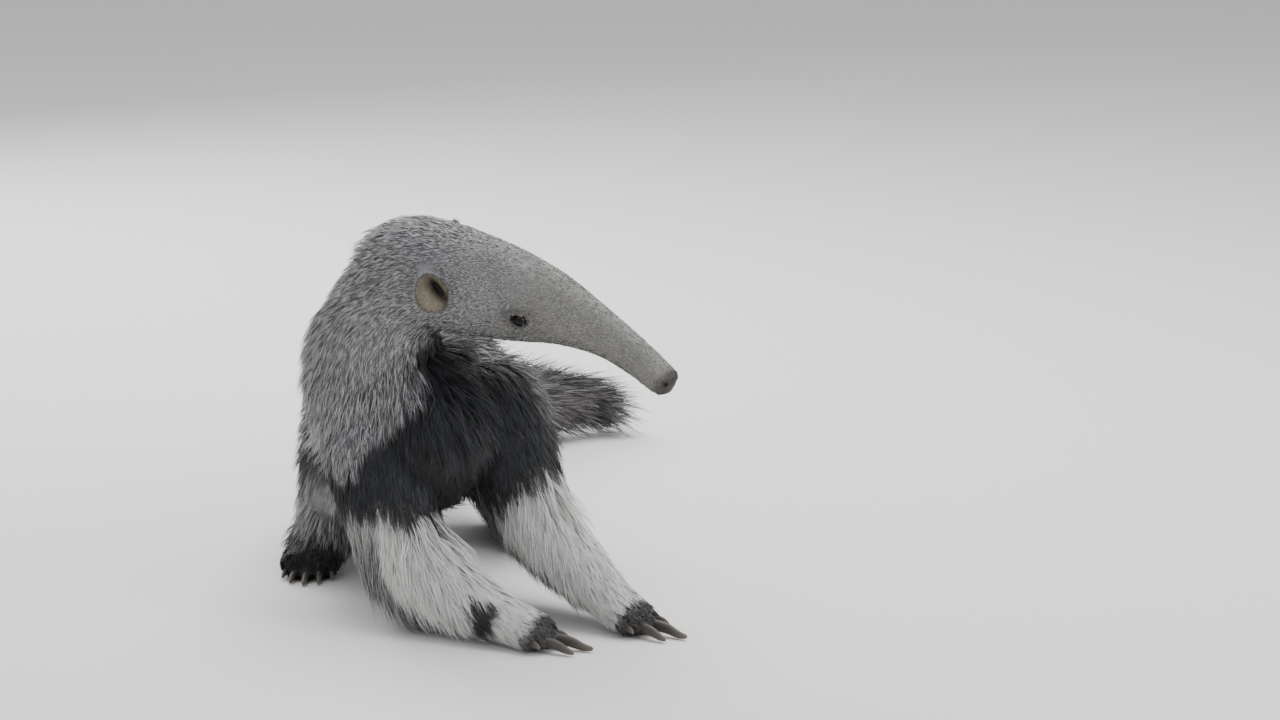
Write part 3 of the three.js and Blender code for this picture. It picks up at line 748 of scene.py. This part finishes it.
def hind_style(u, angle, at, stage):
    """Black-brown, with a grizzled, pale-edged front to the thigh, and hair that shortens from the hip
    to the foot. stage is 0 on the thigh, 1 on the shank and 2 on the foot."""
    place = stage + u
    height = at[4][:, 2]
    front = fade(at[4][:, 1], 285, 345) * (stage < 2)
    colour = shade(
        DARK,
        (GRIZZLED, 0.35 * fade(place, 0.3, 1.0)),
        (GRIZZLED, 0.9 * front * ramp(height, 26, 46)),
        (PALE_EDGE, 0.85 * front * bump(height, 68, 18)),
        (BLACK, front * ramp(height, 88, 102)),
        (BLACK, ramp(place, 1.2, 1.8)),
    )
    leg = 1.0 if stage < 2 else 0.0
    backwards = (leg * 0.35 + 0.8 * fade(place, 0.1, 0.6))[:, None] * [0, 1, 0]
    return dict(
        lie=at[1] * (0.9 - 0.6 * leg) - (0.15 + 0.75 * leg) * UP + backwards,
        length=table(place, (0, 34), (1, 26), (2, 15), (2.3, 9), (3, 5)),
        width=table(place, (0, 0.75), (2, 0.62), (3, 0.48)),
        lift=table(place, (0, 0.22), (2, 0.24), (3, 0.36)),
        colour=colour,
    )


def tail_style(u, angle, at):
    """Long coarse grizzled hair that spreads above and below the tail like a plume."""
    rise = np.sin(angle)
    return dict(
        lie=at[1] + (0.5 * rise)[:, None] * at[3] + (0.12 * np.cos(angle))[:, None] * at[2],
        length=table(u, (0, 46), (0.15, 62), (0.6, 78), (1, 60)),
        width=0.9 + 0 * u,
        lift=table(u, (0, 0.26), (0.2, 0.3), (1, 0.3)),
        colour=shade(TAIL_BROWN, (DARK, 0.3 * ramp(-rise, 0, 1))),
    )


STYLES = {
    "head": head_style,
    "neck": neck_style,
    "trunk": trunk_style,
    "foreleg_right": foreleg_style,
    "foreleg_left": lambda u, angle, at: foreleg_style(u, math.pi - angle, at, hooded=0.0),
    "tail": tail_style,
}
for leg in (HIND_RIGHT, HIND_LEFT):
    STYLES |= {name: partial(hind_style, stage=stage) for stage, name in enumerate(leg)}

style = {}
for weight, (name, limb) in zip(weights, PARTS.items()):
    u, angle, _ = places[name]
    one = STYLES[name](u, angle, (*limb.frame(u), points))
    one["lie"] = unit(one["lie"])
    for key, value in one.items():
        share = weight[:, None] if value.ndim > 1 else weight
        style[key] = style.get(key, 0) + share * value
style["lie"] = along_surface(style["lie"], outward)

# It is darker round the eyes, and painted shade darkens the nostrils' pits and the mouth's slit.
for centre, _, _ in eyes.values():
    away = np.linalg.norm((points - centre) * [1, 1, 1.15], axis=1)
    style["colour"][:, :3] *= (1 - 0.8 * bump(away, 0, 8.5) - 0.14 * bump(away, 14, 7))[:, None]
    style["colour"][:, 3] *= 1 - bump(away, 0, 12)
    style["length"] *= 1 - 0.55 * bump(away, 0, 9)
# Painted shade in the pits of the nostrils and along the slit of the mouth, by up to 0.9.
opening_shade = bump(near_line(points, mouth), 0, 1.1)
for centre in NOSTRILS:
    opening_shade = np.maximum(opening_shade, bump(distance(points, centre), 0, 2.2))
style["colour"][:, :3] *= (1 - 0.9 * opening_shade)[:, None]
# Where hair would run into the body, as in the fold below the neck, it stands up more.
for _ in range(2):
    tips = points + style["length"][:, None] * (style["lie"] + 0.5 * style["lift"][:, None] * outward)
    tip_levels = np.stack([limb.locate(tips)[2] for limb in PARTS.values()]).min(0)
    style["lift"] += 0.5 * (tip_levels < levels.min(0) - 0.01)
style["lift"] = smooth_values(skin.data, style["lift"][:, None], 0.5, 4)[:, 0]
# Round the ears it is short, and none grows where they are set in, or on the snout's bare tip.
bare = distance(points, snout_tip) < BARE_TIP
from_ear = np.full(len(points), 9.0)
for ear in ears.values():
    _, _, height, away = ear_places(points, ear)
    from_ear = np.minimum(from_ear, np.where(np.abs(height) < 30, away, 9))
style["length"] *= 1 - 0.55 * fade(from_ear, 0.9, 1.5)


class Value:
    """A number or colour in a material. Plain arithmetic on it adds Math nodes."""

    def __init__(self, finish, socket):
        self.finish, self.socket = finish, socket

    def math(self, operation, *values):
        return self.finish.node("ShaderNodeMath", {"operation": operation}, dict(enumerate(values)))

    def __add__(self, other):
        return self.math("ADD", self, other)

    def __mul__(self, other):
        return self.math("MULTIPLY", self, other)

    __radd__ = __add__
    __rmul__ = __mul__


class Finish:
    """A material of one shader, whose sockets that are the same all over are set by name."""

    def __init__(self, name, **constants):
        self.material = bpy.data.materials.new(name)
        self.material.use_nodes = True
        self.tree = self.material.node_tree
        self.shader = self.tree.nodes["Principled BSDF"]
        for socket, value in constants.items():
            self.shader.inputs[socket.replace("_", " ")].default_value = value

    def node(self, kind, settings=None, inputs=None, output=0):
        """Adds a node: its settings first, then the values or links of its sockets."""
        made = self.tree.nodes.new(kind)
        for name, value in (settings or {}).items():
            if name == "stops":
                while len(made.color_ramp.elements) < len(value):
                    made.color_ramp.elements.new(0.5)
                for element, (position, level) in zip(made.color_ramp.elements, value):
                    element.position, element.color = position, (level, level, level, 1)
            else:
                setattr(made, name, value)
        for name, value in (inputs or {}).items():
            if isinstance(value, Value):
                self.tree.links.new(value.socket, made.inputs[name])
            else:
                made.inputs[name].default_value = value
        return Value(self, made.outputs[output])

    def attribute(self, name, output="Color"):
        return self.node("ShaderNodeAttribute", {"attribute_name": name}, output=output)

    def mix(self, amount, a, b, blend="MIX"):
        """Mixes colour a with colour b by an amount."""
        ends = {0: amount}
        for socket, colour in ((6, a), (7, b)):
            ends[socket] = colour if isinstance(colour, Value) else (*colour, 1)
        return self.node("ShaderNodeMix", {"data_type": "RGBA", "blend_type": blend}, ends, 2)

    def noise(self, scale, detail, place=None, stretch=(1, 1, 1)):
        """Noise from 0 to 1 on the object's own coordinates, or on a place that is given."""
        place = place or self.node("ShaderNodeTexCoord", output="Object")
        place = self.node("ShaderNodeMapping", inputs={"Vector": place, "Scale": stretch})
        sockets = {"Vector": place, "Scale": scale, "Detail": detail}
        return self.node("ShaderNodeTexNoise", inputs=sockets)

    def times(self, a, b):
        """Multiplies colour a by colour b."""
        return self.mix(1.0, a, b, "MULTIPLY")

    def part(self, vector, number):
        """One of a vector's three numbers."""
        return self.node("ShaderNodeSeparateXYZ", inputs={0: vector}, output=number)

    def grey(self, value, *stops):
        """A grey ramp through (position, level) stops."""
        return self.node("ShaderNodeValToRGB", {"stops": stops}, {0: value})

    def feed(self, **links):
        for socket, value in links.items():
            self.tree.links.new(value.socket, self.shader.inputs[socket.replace("_", " ")])

    def raised(self, height, depth, strength=0.5):
        """Bumps the surface by a height from 0 to 1 that stands for a depth in metres."""
        sockets = {"Height": height, "Distance": depth, "Strength": strength}
        self.feed(Normal=self.node("ShaderNodeBump", inputs=sockets))


LAYER_KINDS = {1: ("FLOAT", "value"), 3: ("FLOAT_VECTOR", "vector"), 4: ("FLOAT_COLOR", "color")}


def add_values(mesh, name, values):
    """Stores a row of numbers for each point: one as it is, 3 as a vector and 4 as a colour."""
    kind, key = LAYER_KINDS[values.shape[1]]
    layer = mesh.attributes.new(name, kind, "POINT")
    layer.data.foreach_set(key, values.astype(np.float32).ravel())


# Hide under the coat: the coat's markings and painted shade, darker, with pits and short hair as fine
# speckle.
hide = Finish("hide", Roughness=0.7, Specular_IOR_Level=0.35)
speckle = hide.noise(1100, 3)
blotch = hide.noise(70, 2)
tone = hide.grey(speckle * 0.7 + blotch * 0.3, (0.36, 0.45), (0.62, 0.98))
hide.feed(Base_Color=hide.times(hide.attribute("marking"), tone))
hide.raised(speckle, 0.0003)
under_coat = style["colour"] * [0.8, 0.8, 0.8, 1]
add_values(skin.data, "marking", under_coat)
skin.data.materials.clear()
skin.data.materials.append(hide.material)
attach(skin, "root")
FLESH = ["torso", "head", "neck", "foreleg_right", "foreleg_left", "hind_leg_right", "hind_leg_left"]
FLESH += ["tail_base", "tail_end", "ear_right", "ear_left"]
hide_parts(*FLESH)

# The coat
# Hair over the whole skin, from close velvet on the snout to the long plume of the tail. It grows in
# small tufts that lean together at their tips. Each hair is a narrow blade that tapers to a point.
hair = Finish("hair", Specular_IOR_Level=0.4)
strand = hair.attribute("strand", "Vector")
share_along, chance = hair.part(strand, 0), hair.part(strand, 1)
marking = hair.attribute("marking")
ringed = hair.attribute("marking", "Alpha")
phase = hair.node("ShaderNodeMath", {"operation": "FRACT"}, {0: share_along * 1.3 + chance})
rings = hair.grey(phase, (0.28, 0.0), (0.45, 1.0), (0.72, 1.0), (0.9, 0.05))
pale = hair.mix(0.62, marking, (0.88, 0.87, 0.88))
dark = hair.mix(0.78, marking, (0.014, 0.013, 0.014))
coloured = hair.mix(ringed * 0.8, marking, hair.mix(rings, dark, pale))
# Painted shade: each hair is darker towards its root, down to 0.35 at the skin, where the coat around
# it shades it.
root_shade = hair.grey(share_along, (0.0, 0.35), (0.4, 0.88), (1.0, 1.0))
own_tone = hair.grey(chance, (0.0, 0.78), (1.0, 1.0))
hair.feed(Base_Color=hair.times(hair.times(coloured, root_shade), own_tone))
hair.feed(Roughness=0.5 + 0.2 * chance)


def blades(spine, across, half):
    """Corners and faces of flat blades: two corners at each row of a spine, half a width to either
    side, and one at its tip."""
    count, rows = spine.shape[:2]
    pairs = rows - 1
    corners = np.empty((count, 2 * pairs + 1, 3))
    corners[:, 0:-1:2] = spine[:, :-1] - half[..., None] * across
    corners[:, 1::2] = spine[:, :-1] + half[..., None] * across
    corners[:, -1] = spine[:, -1]
    one = [[2 * k, 2 * k + 1, 2 * k + 3] for k in range(pairs - 1)]
    one += [[2 * k, 2 * k + 3, 2 * k + 2] for k in range(pairs - 1)]
    one.append([2 * pairs - 2, 2 * pairs - 1, 2 * pairs])
    starts = np.arange(count) * (2 * pairs + 1)
    return corners, (np.array(one)[None] + starts[:, None, None]).reshape(-1, 3)


def triangle_mesh(name, points, triangles):
    """A smooth-shaded mesh straight from arrays, as a list is slow for this many faces."""
    mesh = bpy.data.meshes.new(name)
    mesh.vertices.add(len(points))
    mesh.loops.add(triangles.size)
    mesh.polygons.add(len(triangles))
    set_points(mesh, points)
    mesh.loops.foreach_set("vertex_index", triangles.astype(np.int32).ravel())
    mesh.polygons.foreach_set("loop_start", np.arange(0, triangles.size, 3, dtype=np.int32))
    mesh.update(calc_edges=True)
    mesh.shade_smooth()
    return mesh


STRAY = 0.13  # how far a tuft's lie strays
WAVE = 0.08  # how far hairs bend to the side, for their length
ROLL = 38  # degrees that blades turn about their own length
PATCH = 0.003  # width and height of a blade on the map for the bake


def grow_coat(
    name, slot, mesh, own, unwrap, furred, seed, hairs, least=2, tuft=8, rows=4, spread=5.0, lean=0.45
):
    """A piece of blades in tufts on those faces of a mesh that have enough furred corners, denser
    where the hair is short. A blade's spine is root + length * (s * lie + lift * s * (1 - 0.45 s) *
    outward - 0.1 * s^2 * up), and it leans towards its tuft's middle by lean * s. Its width is the
    root's times 1 - s^2. own is the style of every point, and unwrap its place on a map."""
    # The faces it grows on, and the places of its tufts.
    random = np.random.default_rng(seed)
    mesh.calc_loop_triangles()
    triangles = read(mesh.loop_triangles, "vertices", 3, np.int32)
    triangles = triangles[furred[triangles].sum(1) >= least]
    points = points_of(mesh)
    first, second, third = (points[triangles[:, k]] for k in range(3))
    areas = np.linalg.norm(np.cross(second - first, third - first), axis=1) / 2
    wanted = areas / (own["width"] * own["length"] ** 0.7)[triangles].mean(1)
    tufts = hairs // tuft
    picked = triangles[random.choice(len(triangles), tufts, p=wanted / wanted.sum())]
    corner_shares = random.dirichlet((1, 1, 1), tufts)

    def sample(values):
        shares = corner_shares[..., None] if values.ndim > 1 else corner_shares
        return (values[picked] * shares).sum(1)

    # Each tuft's own lie and size, and its hairs' places in it.
    root, out = sample(points), unit(sample(normals_of(mesh)))
    flow = along_surface(sample(own["lie"]) + STRAY * random.normal(size=(tufts, 3)), out)
    side = np.cross(out, flow)
    width = sample(own["width"])
    length = sample(own["length"]) * random.uniform(0.8, 1.15, tufts)
    lift = sample(own["lift"]) * random.uniform(0.6, 1.4, tufts)
    shape = (tufts, tuft)
    radius = spread * np.sqrt(random.random(shape)) * width[:, None]
    turn = random.uniform(0, 2 * math.pi, shape)
    offset = (radius * np.cos(turn))[..., None] * flow[:, None]
    offset = offset + (radius * np.sin(turn))[..., None] * side[:, None]
    own_length = (length[:, None] * random.uniform(0.75, 1.1, shape))[..., None, None]
    bend = WAVE * random.normal(size=(*shape, 1, 1)) * own_length
    sink = (0.15 + 0.03 * length)[:, None, None, None]
    # The spines, which sink a little into the skin and stay off the floor.
    s = np.linspace(0, 1, rows)[:, None]
    stem = s * own_length * flow[:, None, None]
    stem = stem + s * (1 - 0.45 * s) * own_length * lift[:, None, None, None] * out[:, None, None]
    stem = stem - 0.1 * s**2 * own_length * UP + s**2 * bend * side[:, None, None]
    spine = root[:, None, None] + (1 - lean * s) * offset[:, :, None] + stem - sink * out[:, None, None]
    spine = spine.reshape(-1, rows, 3)
    count = len(spine)
    floor_gap = 0.5 + 0.6 * random.random(count)[:, None]
    spine[..., 2] = np.maximum(spine[..., 2], floor_gap)
    # The blades, each turned a little about its spine.
    heading = unit(np.diff(spine, axis=1))
    face = np.repeat(out, tuft, axis=0)[:, None]
    roll = (np.radians(ROLL) * random.normal(size=count))[:, None, None]
    across = unit(np.cross(heading, face))
    across = np.cos(roll) * across + np.sin(roll) * np.cross(across, heading)
    s = s[:, 0]
    own_width = (width[:, None] * random.uniform(0.7, 1.25, shape)).reshape(-1, 1)
    half = own_width * (1 - s[:-1] ** 2) * np.where(s[:-1] == 0, 0.8, 1) / 2
    corners, faces = blades(spine, across, half)
    coat = triangle_mesh(name, corners.reshape(-1, 3), faces)
    # Light falls on the blades much as on the coat that they make up.
    blade_face = np.cross(across, heading)
    blade_face *= np.sign((blade_face * face).sum(-1, keepdims=True) + 1e-6)
    soft = unit(0.5 * face + 0.5 * blade_face)
    ladder = np.append(np.repeat(np.arange(rows - 1), 2), rows - 2)
    add_values(coat, "custom_normal", soft[:, ladder].reshape(-1, 3))
    along = np.append(np.repeat(s[:-1], 2), 1.0)
    strands = np.zeros_like(corners)
    strands[..., 0] = along
    strands[..., 1] = random.random(count)[:, None]
    add_values(coat, "strand", strands.reshape(-1, 3))
    add_values(coat, "marking", np.repeat(sample(own["colour"]), tuft * len(along), axis=0))
    # Each blade has its own small patch on the unwrap, about its root's place.
    place = unwrap[picked[:, 0]][:, None] + 0.004 * random.normal(size=(*shape, 2))
    patch = np.repeat((PATCH + 0.994 * (place % 1)).reshape(-1, 1, 2), len(along), axis=1)
    patch[..., 0] += PATCH * np.append(np.tile([-0.5, 0.5], rows - 1), 0.0)
    patch[..., 1] += PATCH * (along - 0.5)
    layer = coat.uv_layers.new(name="OFBake")
    layer.data.foreach_set("uv", patch.reshape(-1, 2)[faces.ravel()].astype(np.float32).ravel())
    coat.materials.append(hair.material)
    piece = show(name, coat)
    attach(piece, "root")


# Each piece of coat: the parts of the body that it grows on, its slot, and how it grows.
COATS = {
    "coat_head": (["head"], "grey_coat", dict(hairs=66000, tuft=4, rows=3, spread=3.0, lean=0.25)),
    "coat_neck": (["neck"], "grey_coat", dict(hairs=39900, tuft=6, spread=4.5, lean=0.35)),
    "coat_trunk": (["trunk"], "dark_coat", dict(hairs=39900, spread=5.5, lean=0.5)),
    "coat_trunk_under": (["trunk"], "dark_coat", dict(hairs=30000, spread=5.5, lean=0.4)),
    "coat_foreleg_right": (["foreleg_right"], "pale_coat", dict(hairs=32000)),
    "coat_foreleg_left": (["foreleg_left"], "pale_coat", dict(hairs=26000)),
    "coat_hind_leg_right": (HIND_RIGHT, "dark_coat", dict(hairs=25000)),
    "coat_hind_leg_left": (HIND_LEFT, "dark_coat", dict(hairs=24000)),
    "coat_tail": (["tail"], "tail_hair", dict(hairs=25000, rows=5, spread=6.0, lean=0.5)),
}
COAT_SEED, EAR_SEED = 31, 51
for seed, (name, (region, slot, settings)) in enumerate(COATS.items(), COAT_SEED):
    unwrap = np.zeros((len(points), 2))
    for k, part in enumerate(region):
        mine = owner == NAMES.index(part)
        u, angle, _ = places[part]
        unwrap[mine] = np.stack([(k + u[mine]) / len(region), angle[mine] / (2 * math.pi)], -1)
    furred = np.isin(owner, [NAMES.index(part) for part in region]) & (from_ear > 0.98) & ~bare
    grow_coat(name, slot, skin.data, style, unwrap, furred, seed, **settings)

# The ears
# Small rounded cups of thin skin, open to the front and side, with a narrow slit at the front edge.
# They are one piece with the skin. Short grey hair covers the back and the rim.
EAR_WALL = 1.5
EAR_INSIDE = (0.19, 0.168, 0.115, 0.1)
# Painted shade for the ear's inside: its hollow, its slit and its top.
EAR_PAINTED_SHADE = (0.022, 0.016, 0.013, 0.0)
EAR_PINK = (0.24, 0.165, 0.13, 0.0)
EAR_RIM = (0.36, 0.33, 0.28, 0.1)
ear_skin = Finish("ear skin", Roughness=0.55, Specular_IOR_Level=0.4)
mottle = ear_skin.noise(420, 4)
tone = ear_skin.grey(mottle, (0.35, 0.7), (0.65, 1.0))
ear_skin.feed(Base_Color=ear_skin.times(ear_skin.attribute("marking"), tone))
ear_skin.raised(mottle, 0.0004)


def ear_grid(middle, forward, tall, facing, rings=26, sides=54):
    """A closed leaf: rings from the middle of its inside out to the rim, and back over its outside,
    a wall's thickness lower. It is narrower in front than behind, and towards its top."""
    step = np.linspace(0, 2, 2 * rings + 1)[1:-1]
    t, turn = np.meshgrid(step, 2 * math.pi * np.arange(sides) / sides, indexing="ij")
    r = np.where(t <= 1, t, 2 - t)
    wide = np.where(np.cos(turn) > 0, 0.8, 1.1) * (1 - 0.2 * np.maximum(np.sin(turn), 0))
    x = EAR_HALF[0] * r * np.cos(turn) * wide
    y = EAR_HALF[1] * r * np.sin(turn)
    inside, hollow, slit = ear_inside(x, y)
    height = inside - (t > 1) * (0.3 + EAR_WALL * (1 - r**10))
    grid = middle + x[..., None] * forward + y[..., None] * tall + height[..., None] * facing
    tips = grid[[0, -1]].mean(1)
    along = np.append(t.ravel(), [0, 2])
    colour = shade(
        EAR_INSIDE,
        (EAR_PINK, 0.6 * bump(x, 9, 4) * bump(y, -9, 6)),
        # Painted shade darkens the hollow, the slit and the top of the inside.
        (EAR_PAINTED_SHADE, np.clip(0.75 * hollow + 1.2 * slit + 0.3 * ramp(y, -6, 12), 0, 1)),
        (EAR_RIM, 0.7 * ramp(t, 0.84, 0.93) * ramp(y, 0, 9)),
        (GREY, ramp(t, 0.9, 1.02)),
    ).reshape(-1, 4)
    colour = np.vstack([colour, [EAR_INSIDE, GREY]])
    unwrap = np.stack([along / 2, np.append(turn.ravel(), [0, 0]) / (2 * math.pi)], -1)
    faces = closed_faces(len(step), sides)
    if np.cross(forward, tall) @ facing > 0:
        faces = turned(faces)
    return np.vstack([grid.reshape(-1, 3), tips]), faces, along, colour, unwrap


EAR_HAIR = dict(hairs=7000, least=3, tuft=3, rows=3, spread=2.5, lean=0.2)
for side, (middle, forward, tall, facing) in ears.items():
    ear_points, ear_faces, along, colour, unwrap = ear_grid(middle, forward, tall, facing)
    cup = make_mesh(f"ear_{side}_cup", ear_points, ear_faces)
    add_values(cup.data, "marking", colour)
    cup.data.materials.append(ear_skin.material)
    from_middle = ear_points - middle
    outwards = unit(from_middle - (from_middle @ facing)[:, None] * facing + 4 * tall)
    furred = ramp(along, 0.82, 0.98)
    ear_style = dict(
        lie=along_surface(outwards, normals_of(cup.data)),
        length=2.5 + 1.5 * furred,
        width=0.3 + 0.12 * furred,
        lift=0.35 + 0 * furred,
        colour=colour,
    )
    piece_name = f"ear_{side}_hair"
    rim = along > 0.84
    grow_coat(piece_name, "ear_skin", cup.data, ear_style, unwrap, rim, EAR_SEED, **EAR_HAIR)
    with bpy.context.temp_override(active_object=skin, selected_editable_objects=[skin, cup]):
        bpy.ops.object.join()

# The eyes
# Small, very dark brown balls, wet and glossy, that sit deep behind the lids.
eye_finish = Finish("wet eye", Roughness=0.1, Specular_IOR_Level=0.25)
from_axis = eye_finish.attribute("ring", "Fac")
iris = eye_finish.grey(from_axis, (0.0, 0.0), (0.22, 0.0), (0.27, 1.0), (0.5, 0.7), (0.56, 0.0))
brown = eye_finish.mix(iris, (0.004, 0.003, 0.003), (0.016, 0.009, 0.006))
eye_finish.feed(Base_Color=brown)


def eyeball(centre, out, ahead, rings=24, sides=32):
    """A ball whose front bulges: its radius at an angle from the front is the eye's times 0.98 +
    0.06 * bell(angle). Also each point's share of the way from its front to its back."""
    over = np.cross(out, ahead)
    turns = 2 * math.pi * np.arange(sides) / sides
    bend, turn = np.meshgrid(np.linspace(0, math.pi, rings), turns, indexing="ij")
    radius = EYE_RADIUS * (0.98 + 0.06 * bump(bend, 0, 0.7))
    around = np.cos(turn)[..., None] * ahead + np.sin(turn)[..., None] * over
    flat = (radius * np.sin(bend))[..., None] * around
    grid = centre + flat + (radius * np.cos(bend))[..., None] * out
    share = np.append(bend[1:-1].ravel(), [0, math.pi]) / math.pi
    ball = np.vstack([grid[1:-1].reshape(-1, 3), grid[[0, -1], 0]])
    return ball, turned(closed_faces(rings - 2, sides)), share


for side, (centre, out, ahead) in eyes.items():
    ball_points, ball_faces, share = eyeball(centre, out, ahead)
    ball = make_mesh(f"eye_{side}_ball", ball_points, ball_faces)
    add_values(ball.data, "ring", share[:, None])
    ball.data.materials.append(eye_finish.material)
    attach(ball, "root")
    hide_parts(f"eye_{side}")

# The claws
# Dull dark horn, drawn out and hooked, set into the end of each toe. The third of each forefoot is
# the longest.
horn = Finish("horn", Specular_IOR_Level=0.45)
lay = horn.attribute("lay", "Vector")
streaks = horn.noise(5, 4, lay, (1.5, 9, 1))
tip = horn.grey(horn.part(lay, 0), (0.45, 0.0), (1.0, 1.0))
base = horn.mix(streaks, (0.030, 0.025, 0.022), (0.105, 0.088, 0.072))
horn.feed(Base_Color=horn.mix(tip * 0.55, base, (0.20, 0.17, 0.135)))
horn.feed(Roughness=0.38 + 0.3 * streaks)
horn.raised(streaks, 0.0003)
for name, (_, claws) in feet.items():
    surfaces = [claw.grid(*CLAW_GRID) for claw in claws]
    lays = []
    for claw, (its_points, _) in zip(claws, surfaces):
        u, angle, _ = claw.locate(its_points)
        lays.append(np.stack([u, np.abs(angle), 0 * u], -1))
    claw_points, claw_faces = joined(surfaces)
    piece = make_mesh(name, claw_points, turned(claw_faces))
    add_values(piece.data, "lay", np.vstack(lays))
    piece.data.materials.append(horn.material)
    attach(piece, "root")
    single = name.replace("claws", "claw")
    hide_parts(*[f"{single}_{k + 1}" for k in range(len(claws))])

# The floor, the light and the camera
# A plain pale floor, soft studio light, and the photograph's view of the model.
FLOOR = 40  # half its side in metres
corners = [(FLOOR * x, FLOOR * y, 0) for x, y in ((-1, -1), (1, -1), (1, 1), (-1, 1))]
floor_mesh = bpy.data.meshes.new("floor")
floor_mesh.from_pydata(corners, [], [(0, 1, 2, 3)])
ground = Finish("ground", Roughness=0.9, Base_Color=(0.74, 0.73, 0.71, 1))
floor_mesh.materials.append(ground.material)
floor = show("floor", floor_mesh)

world = bpy.data.worlds.new("studio")
world.use_nodes = True
sky = world.node_tree.nodes["Background"]
sky.inputs["Color"].default_value = (0.93, 0.96, 1.0, 1)
sky.inputs["Strength"].default_value = 0.75
bpy.context.scene.world = world


def lamp(name, place, aim, size, power):
    """A soft square light that faces a point, its size in metres and its power in watts."""
    data = bpy.data.lights.new(name, "AREA")
    data.size, data.energy = size, power
    light = show(name, data)
    light.location = place
    light.rotation_euler = (Vector(aim) - Vector(place)).to_track_quat("-Z", "Y").to_euler()


lamp("top", (0.3, 0.5, 2.2), (0, -0.1, 0.15), 1.6, 62)
lamp("side", (1.6, -1.6, 1.2), (0, -0.2, 0.15), 1.2, 22)
lamp("back", (-0.6, 1.9, 1.3), (0, -0.2, 0.2), 1.0, 40)

CAMERA_PLACE = np.array([-574.9, -2431.8, 754.3])  # in the animal's own layout
CAMERA_TILT, CAMERA_HEADING = 78, -15  # degrees up from straight down, and round from +Y
camera_data = bpy.data.cameras.new("camera")
camera_data.lens, camera_data.sensor_width = 98.72, 36  # millimetres
camera_data.clip_end = 100  # metres
camera = show("camera", camera_data)
camera.location = (CAMERA_PLACE + SHIFT) * MM
camera.rotation_euler = (math.radians(CAMERA_TILT), 0, math.radians(CAMERA_HEADING))
bpy.context.scene.camera = camera
